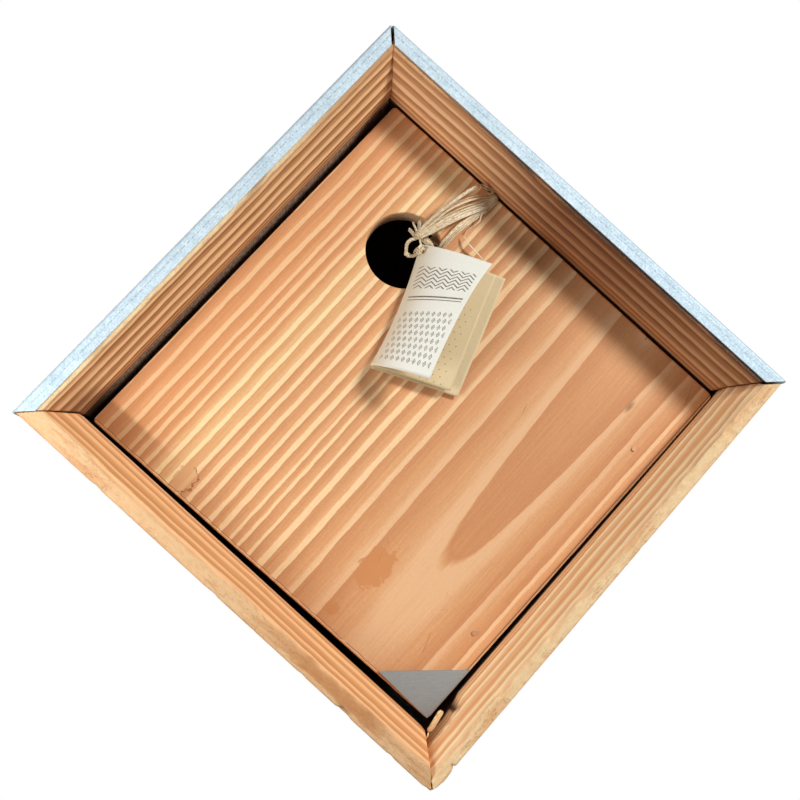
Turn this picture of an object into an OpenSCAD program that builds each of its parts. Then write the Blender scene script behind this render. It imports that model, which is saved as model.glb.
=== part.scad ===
// Nest box shaped as a square standing on its corner: four mitred boards with a wide bevel round
// the mouth, a recessed front panel with a round entrance, a bent sheet roof with folded front
// flaps, and a tag tied on with raffia.
// Millimetres. +Z up, front faces -Y. Origin at the centre of the back face.

/* [Box] */
// Outside length of one wooden side
side_w = 212; // [195:1:250]
// Thickness of the four side boards
board_t = 15; // [13:0.5:18]
// Width of the flat front edge left outside the bevel
edge_t = 6.9; // [6.4:0.1:9]
// Depth of the bevel from the front edge into the mouth
bevel_d = 13.5; // [8:0.5:16]
// Depth of the box from back face to front edges
box_depth = 160; // [140:1:220]
// Open joint left at each mitred corner
mitre_gap = 0.3; // [0.2:0.1:0.6]

/* [Front panel] */
// Distance from the front edges back to the panel
recess = 23.5; // [18:0.5:40]
// Thickness of the panel
panel_t = 12; // [9:0.5:15]
// Gap along the upper left board
gap_ul = 4.7; // [1:0.1:5]
// Gap along the upper right board
gap_ur = 0.9; // [0.9:0.1:2]
// Gap along the lower left board
gap_ll = 2.8; // [0.5:0.1:3]
// Gap along the lower right board
gap_lr = 1.4; // [0.5:0.1:3]
// Diameter of the entrance hole
hole_d = 32; // [25:1:36]
// Distance of the hole centre from both upper edges of the panel
hole_inset = 43.4; // [36:0.2:50]
// Rounding of the panel's arrises
panel_ease = 0.8; // [0.4:0.1:1.5]

/* [Back] */
// Thickness of the back panel
back_t = 12; // [10:1:18]
// Clearance of the back panel on every side
back_gap = 0.4; // [0.2:0.1:1]
// Diameter of the hole that hangs the box on a wall screw
hang_d = 8; // [6:0.5:10]
// Distance of the hanging hole below the upper inner corner
hang_drop = 62; // [55:1:75]

/* [Roof sheet] */
// Thickness of the metal sheet
sheet_t = 0.7; // [0.5:0.1:1]
// Inside radius of the bend at the ridge
ridge_r = 1.5; // [1:0.1:3]
// Outside radius of the fold at the front
fold_r = 1.2; // [1.1:0.1:1.6]
// Width of the flaps folded down over the front edges
flap_w = 6.1; // [4.5:0.1:7]
// Half width of the open slot between the two flaps at the ridge
slot_half = 0.7; // [0.4:0.1:1.5]
// Length that the sheet runs past the lower boards
drip = 0.8; // [0:0.1:2]

/* [Fixings] */
// Width of the batten that carries the panel
batten_w = 18; // [15:1:24]
// Depth of the batten
batten_t = 15; // [10:1:20]
// Length of the batten
batten_l = 150; // [110:1:160]
// Distance between the two brads in the panel
brad_pitch = 100; // [70:1:120]
// Distance of the brads from the lower right edge of the panel
brad_inset = 7.2; // [5:0.2:10]
// Radius of a brad's head
brad_head_r = 1; // [0.8:0.1:1.4]
// Radius of a brad's shank
brad_r = 0.6; // [0.5:0.05:0.8]

/* [Corner plate] */
// Length of the plate's two equal sides
plate_leg = 26.4; // [20:0.2:34]
// Thickness of the plate
plate_t = 0.8; // [0.5:0.1:1.5]

/* [Tag and raffia] */
// Width of a leaf of the tag
tag_w = 39; // [30:1:50]
// Height of a leaf of the tag
tag_h = 54; // [40:1:60]
// Thickness of a leaf
leaf_t = 0.4; // [0.3:0.1:0.6]
// Width of one raffia strand
strand_w = 1.4; // [1:0.1:1.6]
// Thickness of one raffia strand
strand_t = 0.5; // [0.3:0.05:0.6]

/* [Hidden] */
half = side_w / 2;
inner = half - board_t;
front_y = -box_depth;
panel_y = front_y + recess;
panel_back_y = panel_y + panel_t;
px0 = -inner + gap_ul;
px1 = inner - gap_lr;
pz0 = -inner + gap_ll;
pz1 = inner - gap_ur;
hole_x = px0 + hole_inset;
hole_z = pz1 - hole_inset;
hole_r = hole_d / 2;
s2 = sqrt(2);
// centre of the entrance as it hangs
ent_x = (hole_x + hole_z) / s2;
ent_z = (hole_z - hole_x) / s2;
brad_x = px1 - brad_inset;
panel_corner = 1.6;
batten_gap = 0.1;
pilot_play = 0.1;
side_brad_l = board_t * 2;
tack_l = board_t / 2;
brad_bite = batten_t * 2 / 3;
cover_w = tag_w * 0.95;
cover_curl = tag_w * 0.84;
leaf_curl = tag_w * 3.3;
back_curl = tag_w * 15;
// upper left corner of the tag, its lean, and the punched hole near that corner
tag_turn = 23;
tag_x = ent_x + 5.4;
tag_z = ent_z + 2;
punch = 3.4;
punch_r = 1.4;
punch_x = tag_x + punch * cos(tag_turn) - punch * sin(tag_turn);
punch_z = tag_z - punch * sin(tag_turn) - punch * cos(tag_turn);
// knot that ties the raffia in front of the entrance
tie_x = ent_x + 3.1;
tie_z = ent_z + 5.4;
tie_y = panel_y - 1;
tie_up = [(tie_x - tie_z) / s2, (tie_x + tie_z) / s2];
// strands side by side where they enter the gap
strands = 6;
fan_step = 1.7;
fan_x = tie_up[0] + 7.9;
bore_top = [hole_x + hole_r * 0.18, hole_z + hole_r * 0.9];
arc_c = [tie_up[0] + 22, tie_up[1] + 9];
arc_r = 28;

// ---------- helpers ----------

// turns an upright square into the box's diamond
module diamond() {
  rotate([0, 45, 0]) children();
}

// sets a flat outline drawn as [x, z] upright, from y0 to y1
module slab(y0, y1) {
  translate([0, y1, 0])
    rotate([90, 0, 0])
      linear_extrude(height = y1 - y0)
        children();
}

// runs a [y, z] profile along x
module run_x(x0, x1) {
  translate([x0, 0, 0])
    rotate([90, 0, 90])
      linear_extrude(height = x1 - x0)
        children();
}

// flat outline of a strip w wide between two points
module strip(a, b, w) {
  d = b - a;
  n = norm(d);
  k = [-d[1], d[0]] * (w / 2 / n);
  polygon([a + k, b + k, b - k, a - k]);
}

// a brad standing along -Y with its head at y0
module brad(x, z, y0, len) {
  translate([x, y0, z])
    rotate([-90, 0, 0])
      cylinder(r = brad_r, h = len, $fn = 24);
  translate([x, y0 - 0.5, z])
    rotate([-90, 0, 0])
      cylinder(r = brad_head_r, h = 0.5, $fn = 32);
}

// hole for a brad's shank
module pilot(x, z, y0, len) {
  translate([x, y0, z])
    rotate([-90, 0, 0])
      cylinder(r = brad_r + pilot_play, h = len, $fn = 24);
}

// ---------- boards ----------

// outline of the board along the top of the upright square
module board_outline(ridge_end) {
  g = mitre_gap / 2 * s2;
  c = ridge_end ? ridge_r : 0;
  polygon([
    [-half + g + c, half],
    [half - g, half],
    [inner - g, inner],
    [-inner + g, inner],
    [-half + g + c / 2, half - c / 2]
  ]);
}

// profile of a board as [y, z], with the bevel that opens the mouth
module board_profile() {
  polygon([
    [front_y, half],
    [0, half],
    [0, inner],
    [front_y + bevel_d, inner],
    [front_y, half - edge_t]
  ]);
}

module side_board(ridge_end) {
  intersection() {
    slab(front_y, 0)
      board_outline(ridge_end);
    run_x(-half, half)
      board_profile();
  }
}

module roof_board() {
  difference() {
    side_board(true);
    tack_holes();
  }
}

module upper_right_board() {
  color([0.72, 0.5, 0.28])
    diamond()
      roof_board();
}

module upper_left_board() {
  color([0.72, 0.5, 0.28])
    diamond()
      mirror([1, 0, 1])
        roof_board();
}

// holes in a lower board for the brads of the back panel
module back_pilots() {
  for (x = [-half / 2, half / 2])
    translate([x, -back_t / 2, half - side_brad_l - 1])
      cylinder(r = brad_r + pilot_play, h = side_brad_l + 2, $fn = 24);
}

// holes in the lower right board for the brads of the batten
module batten_pilots() {
  for (x = [-batten_l / 5, batten_l / 5])
    translate([x, panel_back_y + batten_t / 2, half - side_brad_l - 1])
      cylinder(r = brad_r + pilot_play, h = side_brad_l + 2, $fn = 24);
}

module lower_right_board() {
  color([0.72, 0.5, 0.28])
    diamond()
      rotate([0, 90, 0])
        difference() {
          side_board(false);
          back_pilots();
          batten_pilots();
        }
}

module lower_left_board() {
  color([0.72, 0.5, 0.28])
    diamond()
      rotate([0, 180, 0])
        difference() {
          side_board(false);
          back_pilots();
        }
}

// ---------- roof ----------

// outline of the bent sheet seen from the front, over the upright square's top and left
module sheet_outline() {
  o = half + sheet_t;
  r = ridge_r + sheet_t;
  e = half + drip;
  intersection() {
    difference() {
      translate([-o + r, o - r]) circle(r = r, $fn = 96);
      translate([-o + r, o - r]) circle(r = ridge_r, $fn = 96);
    }
    translate([-o, o - r]) square(r);
  }
  translate([-o + r, half]) square([e + o - r, sheet_t]);
  translate([-o, -e]) square([sheet_t, e + o - r]);
}

// profile of a flap and its fold on the top side, as [y, z]
module flap_profile() {
  fy = front_y - sheet_t;
  o = half + sheet_t;
  difference() {
    union() {
      intersection() {
        translate([fy + fold_r, o - fold_r]) circle(r = fold_r, $fn = 64);
        translate([fy, o - fold_r]) square(fold_r);
      }
      translate([fy, o - flap_w - 2]) square([sheet_t, flap_w + 2 - fold_r]);
      translate([fy + fold_r, half]) square([2, sheet_t]);
    }
    translate([front_y, half - 20]) square([20, 20]);
  }
}

// outline that trims a flap to its width and mitres it at both ends
module flap_wedge() {
  far = half + sheet_t + 3;
  low = half + sheet_t - flap_w;
  slab(front_y - 3, front_y + 4)
    polygon([
      [-far + slot_half * s2, far],
      [half + drip, far],
      [half + drip, half + drip],
      [low, low],
      [-low + slot_half * s2, low]
    ]);
}

module flap() {
  intersection() {
    run_x(-half - 3, half + drip)
      flap_profile();
    flap_wedge();
  }
}

module roof_body() {
  slab(front_y - sheet_t + fold_r, 0)
    sheet_outline();
  flap();
  mirror([1, 0, 1])
    flap();
}

// tack positions on one slope, as [x, y]
tack_at = [[-half / 2, -12], [half / 2, -12]];

module tack_holes() {
  for (t = tack_at)
    translate([t[0], t[1], half - tack_l - 0.5])
      cylinder(r = brad_r + pilot_play, h = tack_l + 2, $fn = 24);
}

module roof_sheet() {
  color([0.66, 0.7, 0.74])
    diamond()
      difference() {
        roof_body();
        tack_holes();
        mirror([1, 0, 1]) tack_holes();
      }
}

module tacks() {
  for (t = tack_at)
    translate([t[0], t[1], half + sheet_t]) {
      cylinder(r = 1.6, h = 0.5, $fn = 32);
      translate([0, 0, -tack_l]) cylinder(r = brad_r, h = tack_l, $fn = 24);
    }
}

module roof_tacks() {
  color([0.6, 0.62, 0.64])
    diamond() {
      tacks();
      mirror([1, 0, 1]) tacks();
    }
}

// ---------- front panel ----------

// rectangle with eased corners
module eased_rect(x0, x1, z0, z1, r) {
  union() {
    translate([x0 + r, z0]) square([x1 - x0 - 2 * r, z1 - z0]);
    translate([x0, z0 + r]) square([x1 - x0, z1 - z0 - 2 * r]);
    for (x = [x0 + r, x1 - r])
      for (z = [z0 + r, z1 - r])
        translate([x, z]) circle(r = r, $fn = 32);
  }
}

module front_panel_solid() {
  e = panel_ease;
  difference() {
    intersection() {
      slab(panel_y, panel_back_y)
        eased_rect(px0, px1, pz0, pz1, panel_corner);
      run_x(px0 - 1, px1 + 1)
        eased_rect(panel_y, panel_back_y, pz0, pz1, e);
      translate([0, 0, pz0 - 1])
        linear_extrude(height = pz1 - pz0 + 2)
          eased_rect(px0, px1, panel_y, panel_back_y, e);
    }
    translate([hole_x, panel_y - 1, hole_z])
      rotate([-90, 0, 0])
        cylinder(r = hole_r, h = panel_t + 2, $fn = 96);
    for (z = [-brad_pitch / 2, brad_pitch / 2])
      pilot(brad_x, z, panel_y - 1, panel_t + 2);
  }
}

module front_panel() {
  color([0.82, 0.6, 0.36])
    diamond()
      front_panel_solid();
}

module panel_batten() {
  bx1 = inner - batten_gap;
  color([0.7, 0.5, 0.3])
    diamond()
      difference() {
        translate([bx1 - batten_w, panel_back_y, -batten_l / 2])
          cube([batten_w, batten_t, batten_l]);
        for (z = [-brad_pitch / 2, brad_pitch / 2])
          pilot(brad_x, z, panel_back_y - 1, brad_bite + 2);
        rotate([0, 90, 0]) batten_pilots();
      }
}

module panel_brads() {
  color([0.5, 0.5, 0.5])
    diamond()
      for (z = [-brad_pitch / 2, brad_pitch / 2])
        brad(brad_x, z, panel_y, panel_t + brad_bite);
}

// brads driven in through a lower board, on the upright square's top
module side_brads(xs, y, len) {
  for (x = xs)
    translate([x, y, half - len])
      cylinder(r = brad_r, h = len, $fn = 24);
  for (x = xs)
    translate([x, y, half])
      cylinder(r = brad_head_r, h = 0.4, $fn = 32);
}

module batten_brads() {
  color([0.5, 0.5, 0.5])
    diamond()
      rotate([0, 90, 0])
        side_brads([-batten_l / 5, batten_l / 5], panel_back_y + batten_t / 2, side_brad_l);
}

module corner_plate() {
  e = 0.6;
  color([0.6, 0.6, 0.6])
    diamond()
      slab(panel_y - plate_t, panel_y)
        polygon([[px1 - e, pz0 + e], [px1 - e, pz0 + plate_leg], [px1 - plate_leg, pz0 + e]]);
}

// ---------- back ----------

module back_panel() {
  b = inner - back_gap;
  color([0.7, 0.5, 0.3])
    difference() {
      diamond()
        difference() {
          translate([-b, -back_t, -b])
            cube([2 * b, back_t, 2 * b]);
          rotate([0, 90, 0]) back_pilots();
          rotate([0, 180, 0]) back_pilots();
        }
      translate([0, -back_t - 1, inner * s2 - hang_drop])
        rotate([-90, 0, 0])
          cylinder(r = hang_d / 2, h = back_t + 2, $fn = 64);
    }
}

module back_brads() {
  color([0.5, 0.5, 0.5])
    diamond() {
      rotate([0, 90, 0]) side_brads([-half / 2, half / 2], -back_t / 2, side_brad_l);
      rotate([0, 180, 0]) side_brads([-half / 2, half / 2], -back_t / 2, side_brad_l);
    }
}

// ---------- tag ----------

// a curled leaf that hangs from its upper left corner, its right side coming forward
module leaf(y, w, r, turn) {
  translate([tag_x, y, tag_z])
    rotate([0, turn, 0])
      difference() {
        translate([0, -r, -tag_h])
          rotate([0, 0, 90])
            mirror([0, 1, 0])
              rotate_extrude(angle = w / r * 180 / PI, $fn = 192)
                translate([r - leaf_t, 0])
                  square([leaf_t, tag_h]);
        translate([punch, -8, -punch])
          rotate([-90, 0, 0])
            cylinder(r = punch_r, h = 12, $fn = 32);
      }
}

module tag_cover() {
  color([0.93, 0.9, 0.82])
    leaf(panel_y - 1.6, cover_w, cover_curl, tag_turn);
}

module tag_leaf() {
  color([0.9, 0.86, 0.7])
    leaf(panel_y - 1.05, tag_w, leaf_curl, tag_turn + 0.5);
}

module tag_back_leaf() {
  color([0.9, 0.86, 0.7])
    leaf(panel_y - 0.5, tag_w, back_curl, tag_turn);
}

// ---------- raffia ----------

// a round strand between two points
module rod(a, b, r) {
  d = b - a;
  n = norm(d);
  translate(a)
    rotate([0, acos(d[2] / n), atan2(d[1], d[0])])
      cylinder(r = r, h = n, $fn = 16);
}

// flat strands that fan out from the tie to the gap along the upper right board
module strand_fan(y0, from_x, from_z, spread) {
  slab(y0, y0 + strand_t)
    for (i = [0 : strands - 1])
      strip([from_x + i * spread, from_z], [fan_x + i * fan_step, pz1 + 0.6], strand_w * 0.8);
}

module tie_knot() {
  color([0.8, 0.66, 0.42])
    translate([tie_x, tie_y, tie_z])
      sphere(r = 2, $fn = 32);
}

module raffia_front_run() {
  color([0.8, 0.66, 0.42])
    diamond() {
      strand_fan(panel_y - 0.1 - strand_t, tie_up[0] + 0.7, tie_up[1] + 2.2, 0.3);
      for (i = [0 : strands - 1])
        translate([fan_x + i * fan_step - strand_w / 2, panel_y - 0.1 - strand_t, pz1 + 0.1])
          cube([strand_w, panel_t / 2 + 0.1 + strand_t, strand_t]);
    }
}

module raffia_back_run() {
  color([0.78, 0.64, 0.4])
    diamond() {
      strand_fan(panel_back_y + 0.1, bore_top[0], bore_top[1], 0.5);
      for (i = [0 : strands - 1])
        translate([fan_x + i * fan_step - strand_w / 2, panel_y + panel_t / 2, pz1 + 0.1])
          cube([strand_w, panel_t / 2 + 0.1 + strand_t, strand_t]);
      for (i = [0, 2])
        rod([bore_top[0] + i, panel_back_y + 0.1 + strand_t / 2, bore_top[1] + 0.2],
            [tie_up[0] + 0.6 + i * 0.3, tie_y + 1.7, tie_up[1] + 0.9], strand_w / 2);
    }
}

module raffia_tails() {
  color([0.8, 0.66, 0.42]) {
    rod([tie_x - 0.6, tie_y - 0.2, tie_z + 1.9], [tie_x - 3, tie_y - 1, tie_z + 8], 0.6);
    rod([tie_x + 0.9, tie_y - 0.6, tie_z + 1.8], [tie_x + 3.2, tie_y - 3, tie_z + 6], 0.6);
  }
}

// loop that runs through the punched corner of the tag and up to the tie
module tag_loop() {
  d = [tie_x - punch_x, 0, tie_z - punch_z];
  n = norm(d);
  u = d / n;
  r = (n - 2) / 2 + 0.3;
  color([0.8, 0.66, 0.42])
    translate([punch_x + u[0] * r, tie_y, punch_z + u[2] * r])
      rotate([0, -atan2(u[2], u[0]), 0])
        rotate([90, 0, 0])
          rotate([90, 0, 0])
            rotate_extrude($fn = 64)
              translate([r, 0])
                circle(r = 0.6, $fn = 16);
}

module raffia_loose_strand() {
  color([0.8, 0.66, 0.42])
    slab(panel_y - 1.3, panel_y - 0.8) {
      strip([ent_x + 24, ent_z + 14.5], [ent_x + 26.5, ent_z + 4], 0.9);
      strip([ent_x + 26.5, ent_z + 4], [ent_x + 32, ent_z - 4.5], 0.9);
    }
}

module raffia_arc_strand() {
  color([0.8, 0.66, 0.42])
    diamond()
      slab(panel_y - 1.3, panel_y - 0.8)
        intersection() {
          difference() {
            translate([arc_c[0], arc_c[1]]) circle(r = arc_r + 0.5, $fn = 128);
            translate([arc_c[0], arc_c[1]]) circle(r = arc_r - 0.5, $fn = 128);
          }
          translate([fan_x - 12, tie_up[1] + 4]) square([fan_x + 6 - fan_x + 5, 30]);
        }
}

upper_left_board();
upper_right_board();
lower_left_board();
lower_right_board();
roof_sheet();
roof_tacks();
front_panel();
panel_batten();
panel_brads();
batten_brads();
corner_plate();
back_panel();
back_brads();
tag_cover();
tag_leaf();
tag_back_leaf();
tag_loop();
tie_knot();
raffia_front_run();
raffia_back_run();
raffia_tails();
raffia_loose_strand();
raffia_arc_strand();
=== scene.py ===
"""Nest box with bevelled boards, a recessed panel, a folded sheet roof and a tag on raffia."""

import math

import bmesh
import bpy
import numpy as np
from bpy.props import FloatProperty, FloatVectorProperty, IntProperty, PointerProperty
from mathutils import Matrix, Vector


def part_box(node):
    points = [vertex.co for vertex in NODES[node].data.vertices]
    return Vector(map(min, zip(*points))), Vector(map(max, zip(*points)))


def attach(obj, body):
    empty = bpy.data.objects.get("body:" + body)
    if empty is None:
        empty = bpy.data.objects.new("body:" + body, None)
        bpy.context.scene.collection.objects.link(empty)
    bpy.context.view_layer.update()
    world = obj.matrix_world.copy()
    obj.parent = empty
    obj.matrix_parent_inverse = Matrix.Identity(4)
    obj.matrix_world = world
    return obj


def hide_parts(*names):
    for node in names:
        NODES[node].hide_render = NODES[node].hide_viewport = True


bl_info = {
    "name": "Nest Box Maker",
    "version": (1, 0, 0),
    "blender": (4, 5, 0),
    "location": "3D View > Sidebar > Nest Box",
    "description": "Builds the nest box piece by piece around its packed frame",
    "category": "Object",
}

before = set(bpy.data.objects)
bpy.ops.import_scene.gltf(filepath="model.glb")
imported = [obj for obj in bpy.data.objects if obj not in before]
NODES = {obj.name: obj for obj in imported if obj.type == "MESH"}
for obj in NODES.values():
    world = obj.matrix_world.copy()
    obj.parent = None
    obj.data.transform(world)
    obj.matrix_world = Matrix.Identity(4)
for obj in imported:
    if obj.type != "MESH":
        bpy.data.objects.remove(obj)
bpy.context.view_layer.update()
MM = 0.001
ROOT2 = math.sqrt(2.0)


def span_of(node):
    """Lowest and highest corner of a node, in millimetres."""
    low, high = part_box(node)
    return np.array(low) / MM, np.array(high) / MM


# Most places are given on the upright square: the box turned so that its sides stand upright.
# There u runs from the upper left side to the lower right one and v from the lower left to the
# upper right one. Lengths are in millimetres.
PANEL_LOW, PANEL_HIGH = span_of("front_panel")
BOARD_LOW = span_of("lower_left_board")[0]
FRONT_Y = float(BOARD_LOW[1])
PANEL_Y = float(PANEL_LOW[1])
PANEL_BACK_Y = float(PANEL_HIGH[1])
PANEL_TOP = float(PANEL_HIGH[2]) / ROOT2
BOARD_GAP = 0.3
HALF = float(-BOARD_LOW[0]) / ROOT2 + BOARD_GAP / 4
# the panel narrows towards its bottom corner: its left, bottom, right and top corner
PANEL_CORNERS = ((-87.15, -89.7), (90.7, -87.5), (92.7, 89.6), (-87.15, 90.0))
# the corner plate: its left corner, its tip and its right corner
PLATE_CORNERS = ((63.3, -86.7), (90.2, -87.35), (90.75, -61.8))
PLATE_T = 0.8
# the lower right board is that much thinner than the others
THIN = 2.0

# each board's way out from the centre of the box and its way along, as [x, z]
SIDES = {
    "upper_right_board": ((1, 1), (1, -1)),
    "upper_left_board": ((-1, 1), (-1, -1)),
    "lower_right_board": ((1, -1), (-1, -1)),
    "lower_left_board": ((-1, -1), (-1, 1)),
}


def shade(red, green, blue):
    """A screen colour of 0 to 255 as the linear colour that shaders use."""
    out = []
    for part in (red, green, blue):
        c = part / 255.0
        out.append(c / 12.92 if c <= 0.04045 else ((c + 0.055) / 1.055) ** 2.4)
    return (out[0], out[1], out[2], 1.0)


def upright(u, v, y):
    """A place on the upright square as x, y, z."""
    return ((u + v) / ROOT2, y, (v - u) / ROOT2)


# ---------------------------------------------------------------- finishes


class Flow:
    """What one node gives to the next; it adds, subtracts and multiplies like a number."""

    def __init__(self, finish, socket):
        self.finish = finish
        self.socket = socket

    def __add__(self, other):
        return self.finish.math("ADD", self, other)

    def __radd__(self, other):
        return self.finish.math("ADD", other, self)

    def __sub__(self, other):
        return self.finish.math("SUBTRACT", self, other)

    def __rsub__(self, other):
        return self.finish.math("SUBTRACT", other, self)

    def __mul__(self, other):
        return self.finish.math("MULTIPLY", self, other)

    def __abs__(self):
        return self.finish.math("ABSOLUTE", self)


class Finish:
    """One procedural material, with short words for its nodes."""

    def __init__(self, name):
        self.mat = bpy.data.materials.new(name)
        self.mat.use_nodes = True
        self.tree = self.mat.node_tree
        self.tree.nodes.clear()
        out = self.tree.nodes.new("ShaderNodeOutputMaterial")
        self.skin = self.tree.nodes.new("ShaderNodeBsdfPrincipled")
        self.tree.links.new(self.skin.outputs[0], out.inputs[0])

    def plug(self, socket, value):
        if isinstance(value, Flow):
            self.tree.links.new(value.socket, socket)
        elif value is not None:
            socket.default_value = value

    def set(self, **sockets):
        """Values of the surface, by the names of its sockets."""
        for name, value in sockets.items():
            self.plug(self.skin.inputs[name.replace("_", " ").title().replace("Ior", "IOR")], value)

    def node(self, kind, *values, gives=0, **settings):
        """Adds a node with its settings and the values of its sockets in order."""
        item = self.tree.nodes.new("ShaderNode" + kind)
        for key, value in settings.items():
            setattr(item, key, value)
        for socket, value in zip(item.inputs, values):
            self.plug(socket, value)
        return Flow(self, item.outputs[gives])

    def place(self):
        """Object place in millimetres."""
        return self.scaled(self.node("TexCoord", gives="Object"), 1.0 / MM)

    def lay(self):
        """Place along and across a leaf or a strand."""
        return self.parts(self.node("TexCoord", gives="UV"))[:2]

    def scaled(self, vector, by):
        return self.node("VectorMath", vector, None, None, by, operation="SCALE")

    def along(self, vector, way):
        """How far a place lies along a way."""
        return self.node("VectorMath", vector, way, operation="DOT_PRODUCT", gives="Value")

    def stretched(self, vector, by):
        return self.node("VectorMath", vector, by, operation="MULTIPLY")

    def far_from(self, vector, spot, by=None):
        """Distance from a spot, with each axis stretched."""
        away = self.node("VectorMath", vector, spot, operation="SUBTRACT")
        if by is not None:
            away = self.stretched(away, by)
        return self.node("VectorMath", away, operation="LENGTH", gives="Value")

    def math(self, kind, a, b=None, clamp=False):
        return self.node("Math", a, b, operation=kind, use_clamp=clamp)

    def held(self, a):
        """The value held between 0 and 1."""
        return self.math("ADD", a, 0.0, clamp=True)

    def most(self, a, b):
        return self.math("MAXIMUM", a, b)

    def least(self, a, b):
        return self.math("MINIMUM", a, b)

    def fraction(self, a):
        return self.math("FRACT", a)

    def floor(self, a):
        return self.math("FLOOR", a)

    def join(self, x, y, z):
        return self.node("CombineXYZ", x, y, z)

    def parts(self, vector):
        return [Flow(self, part) for part in self.node("SeparateXYZ", vector).socket.node.outputs]

    def noise(self, vector, detail=2.0, rough=0.5, scale=1.0):
        """Cloudy noise round 0.5; the place is a vector or three values."""
        if isinstance(vector, tuple):
            vector = self.join(*vector)
        return self.node("TexNoise", vector, None, scale, detail, rough)

    def cells(self, vector, scale):
        return self.node("TexVoronoi", vector, None, scale, gives="Distance")

    def ease(self, x, low, high, start=0.0, end=1.0):
        """Smooth step up as x goes from low to high."""
        return self.node("MapRange", x, low, high, start, end, interpolation_type="SMOOTHSTEP")

    def fade(self, x, low, high):
        """Smooth step down as x goes from low to high."""
        return 1.0 - self.ease(x, low, high)

    def blend(self, share, a, b, kind="MIX"):
        """Colour a with a share of colour b."""
        mix = self.tree.nodes.new("ShaderNodeMix")
        mix.data_type = "RGBA"
        mix.blend_type = kind
        for socket, value in zip((mix.inputs[0], mix.inputs[6], mix.inputs[7]), (share, a, b)):
            self.plug(socket, value)
        return Flow(self, mix.outputs[2])

    def ramp(self, share, *stops):
        """Colours in a row, each given with its place."""
        flow = self.node("ValToRGB", share)
        band = flow.socket.node.color_ramp
        while len(band.elements) < len(stops):
            band.elements.new(1.0)
        for element, (at, colour) in zip(band.elements, stops):
            element.position = at
            element.color = colour
        return flow

    def curve(self, x, points):
        """Straight-line curve through points of 0 to 1."""
        flow = self.node("FloatCurve", None, x)
        mapping = flow.socket.node.mapping
        line = mapping.curves[0]
        while len(line.points) < len(points):
            line.points.new(0.5, 0.5)
        for dot, spot in zip(line.points, points):
            dot.location = spot
            dot.handle_type = "VECTOR"
        mapping.update()
        return flow

    def relief(self, height, distance, strength):
        """Bump of that height; distance is in metres."""
        bump = self.tree.nodes.new("ShaderNodeBump")
        self.plug(bump.inputs["Height"], height)
        bump.inputs["Distance"].default_value = distance
        bump.inputs["Strength"].default_value = strength
        self.tree.links.new(bump.outputs[0], self.skin.inputs["Normal"])


# tones of each board: pale wood, dark ring, sawn edge, ring start, share of painted shade at its far end
BOARD_TONES = {
    "upper_left_board": ((242, 194, 144), (158, 102, 58), (246, 216, 168), 0.93, 0.0),
    # the upper right board's dark sawn edge is painted shadow beside the flap, and its far end is painted
    # darker as painted shade
    "upper_right_board": ((255, 208, 156), (190, 124, 76), (88, 64, 50), 0.65, 1.0),
    "lower_left_board": ((246, 192, 138), (204, 141, 88), (228, 188, 141), 0.25, 0.0),
    # the lower right board is paler partly as its wood and partly as painted light
    "lower_right_board": ((255, 228, 182), (232, 170, 116), (250, 218, 168), 0.08, 0.0),
}
BATTEN_TONES = ((224, 172, 118), (184, 128, 78), (224, 176, 124), 0.3, 0.0)
# how rough the boards are cut: the two under the roof and the two bare ones
UPPER_ROUGH = 0.5
LOWER_ROUGH = 1.3


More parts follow.
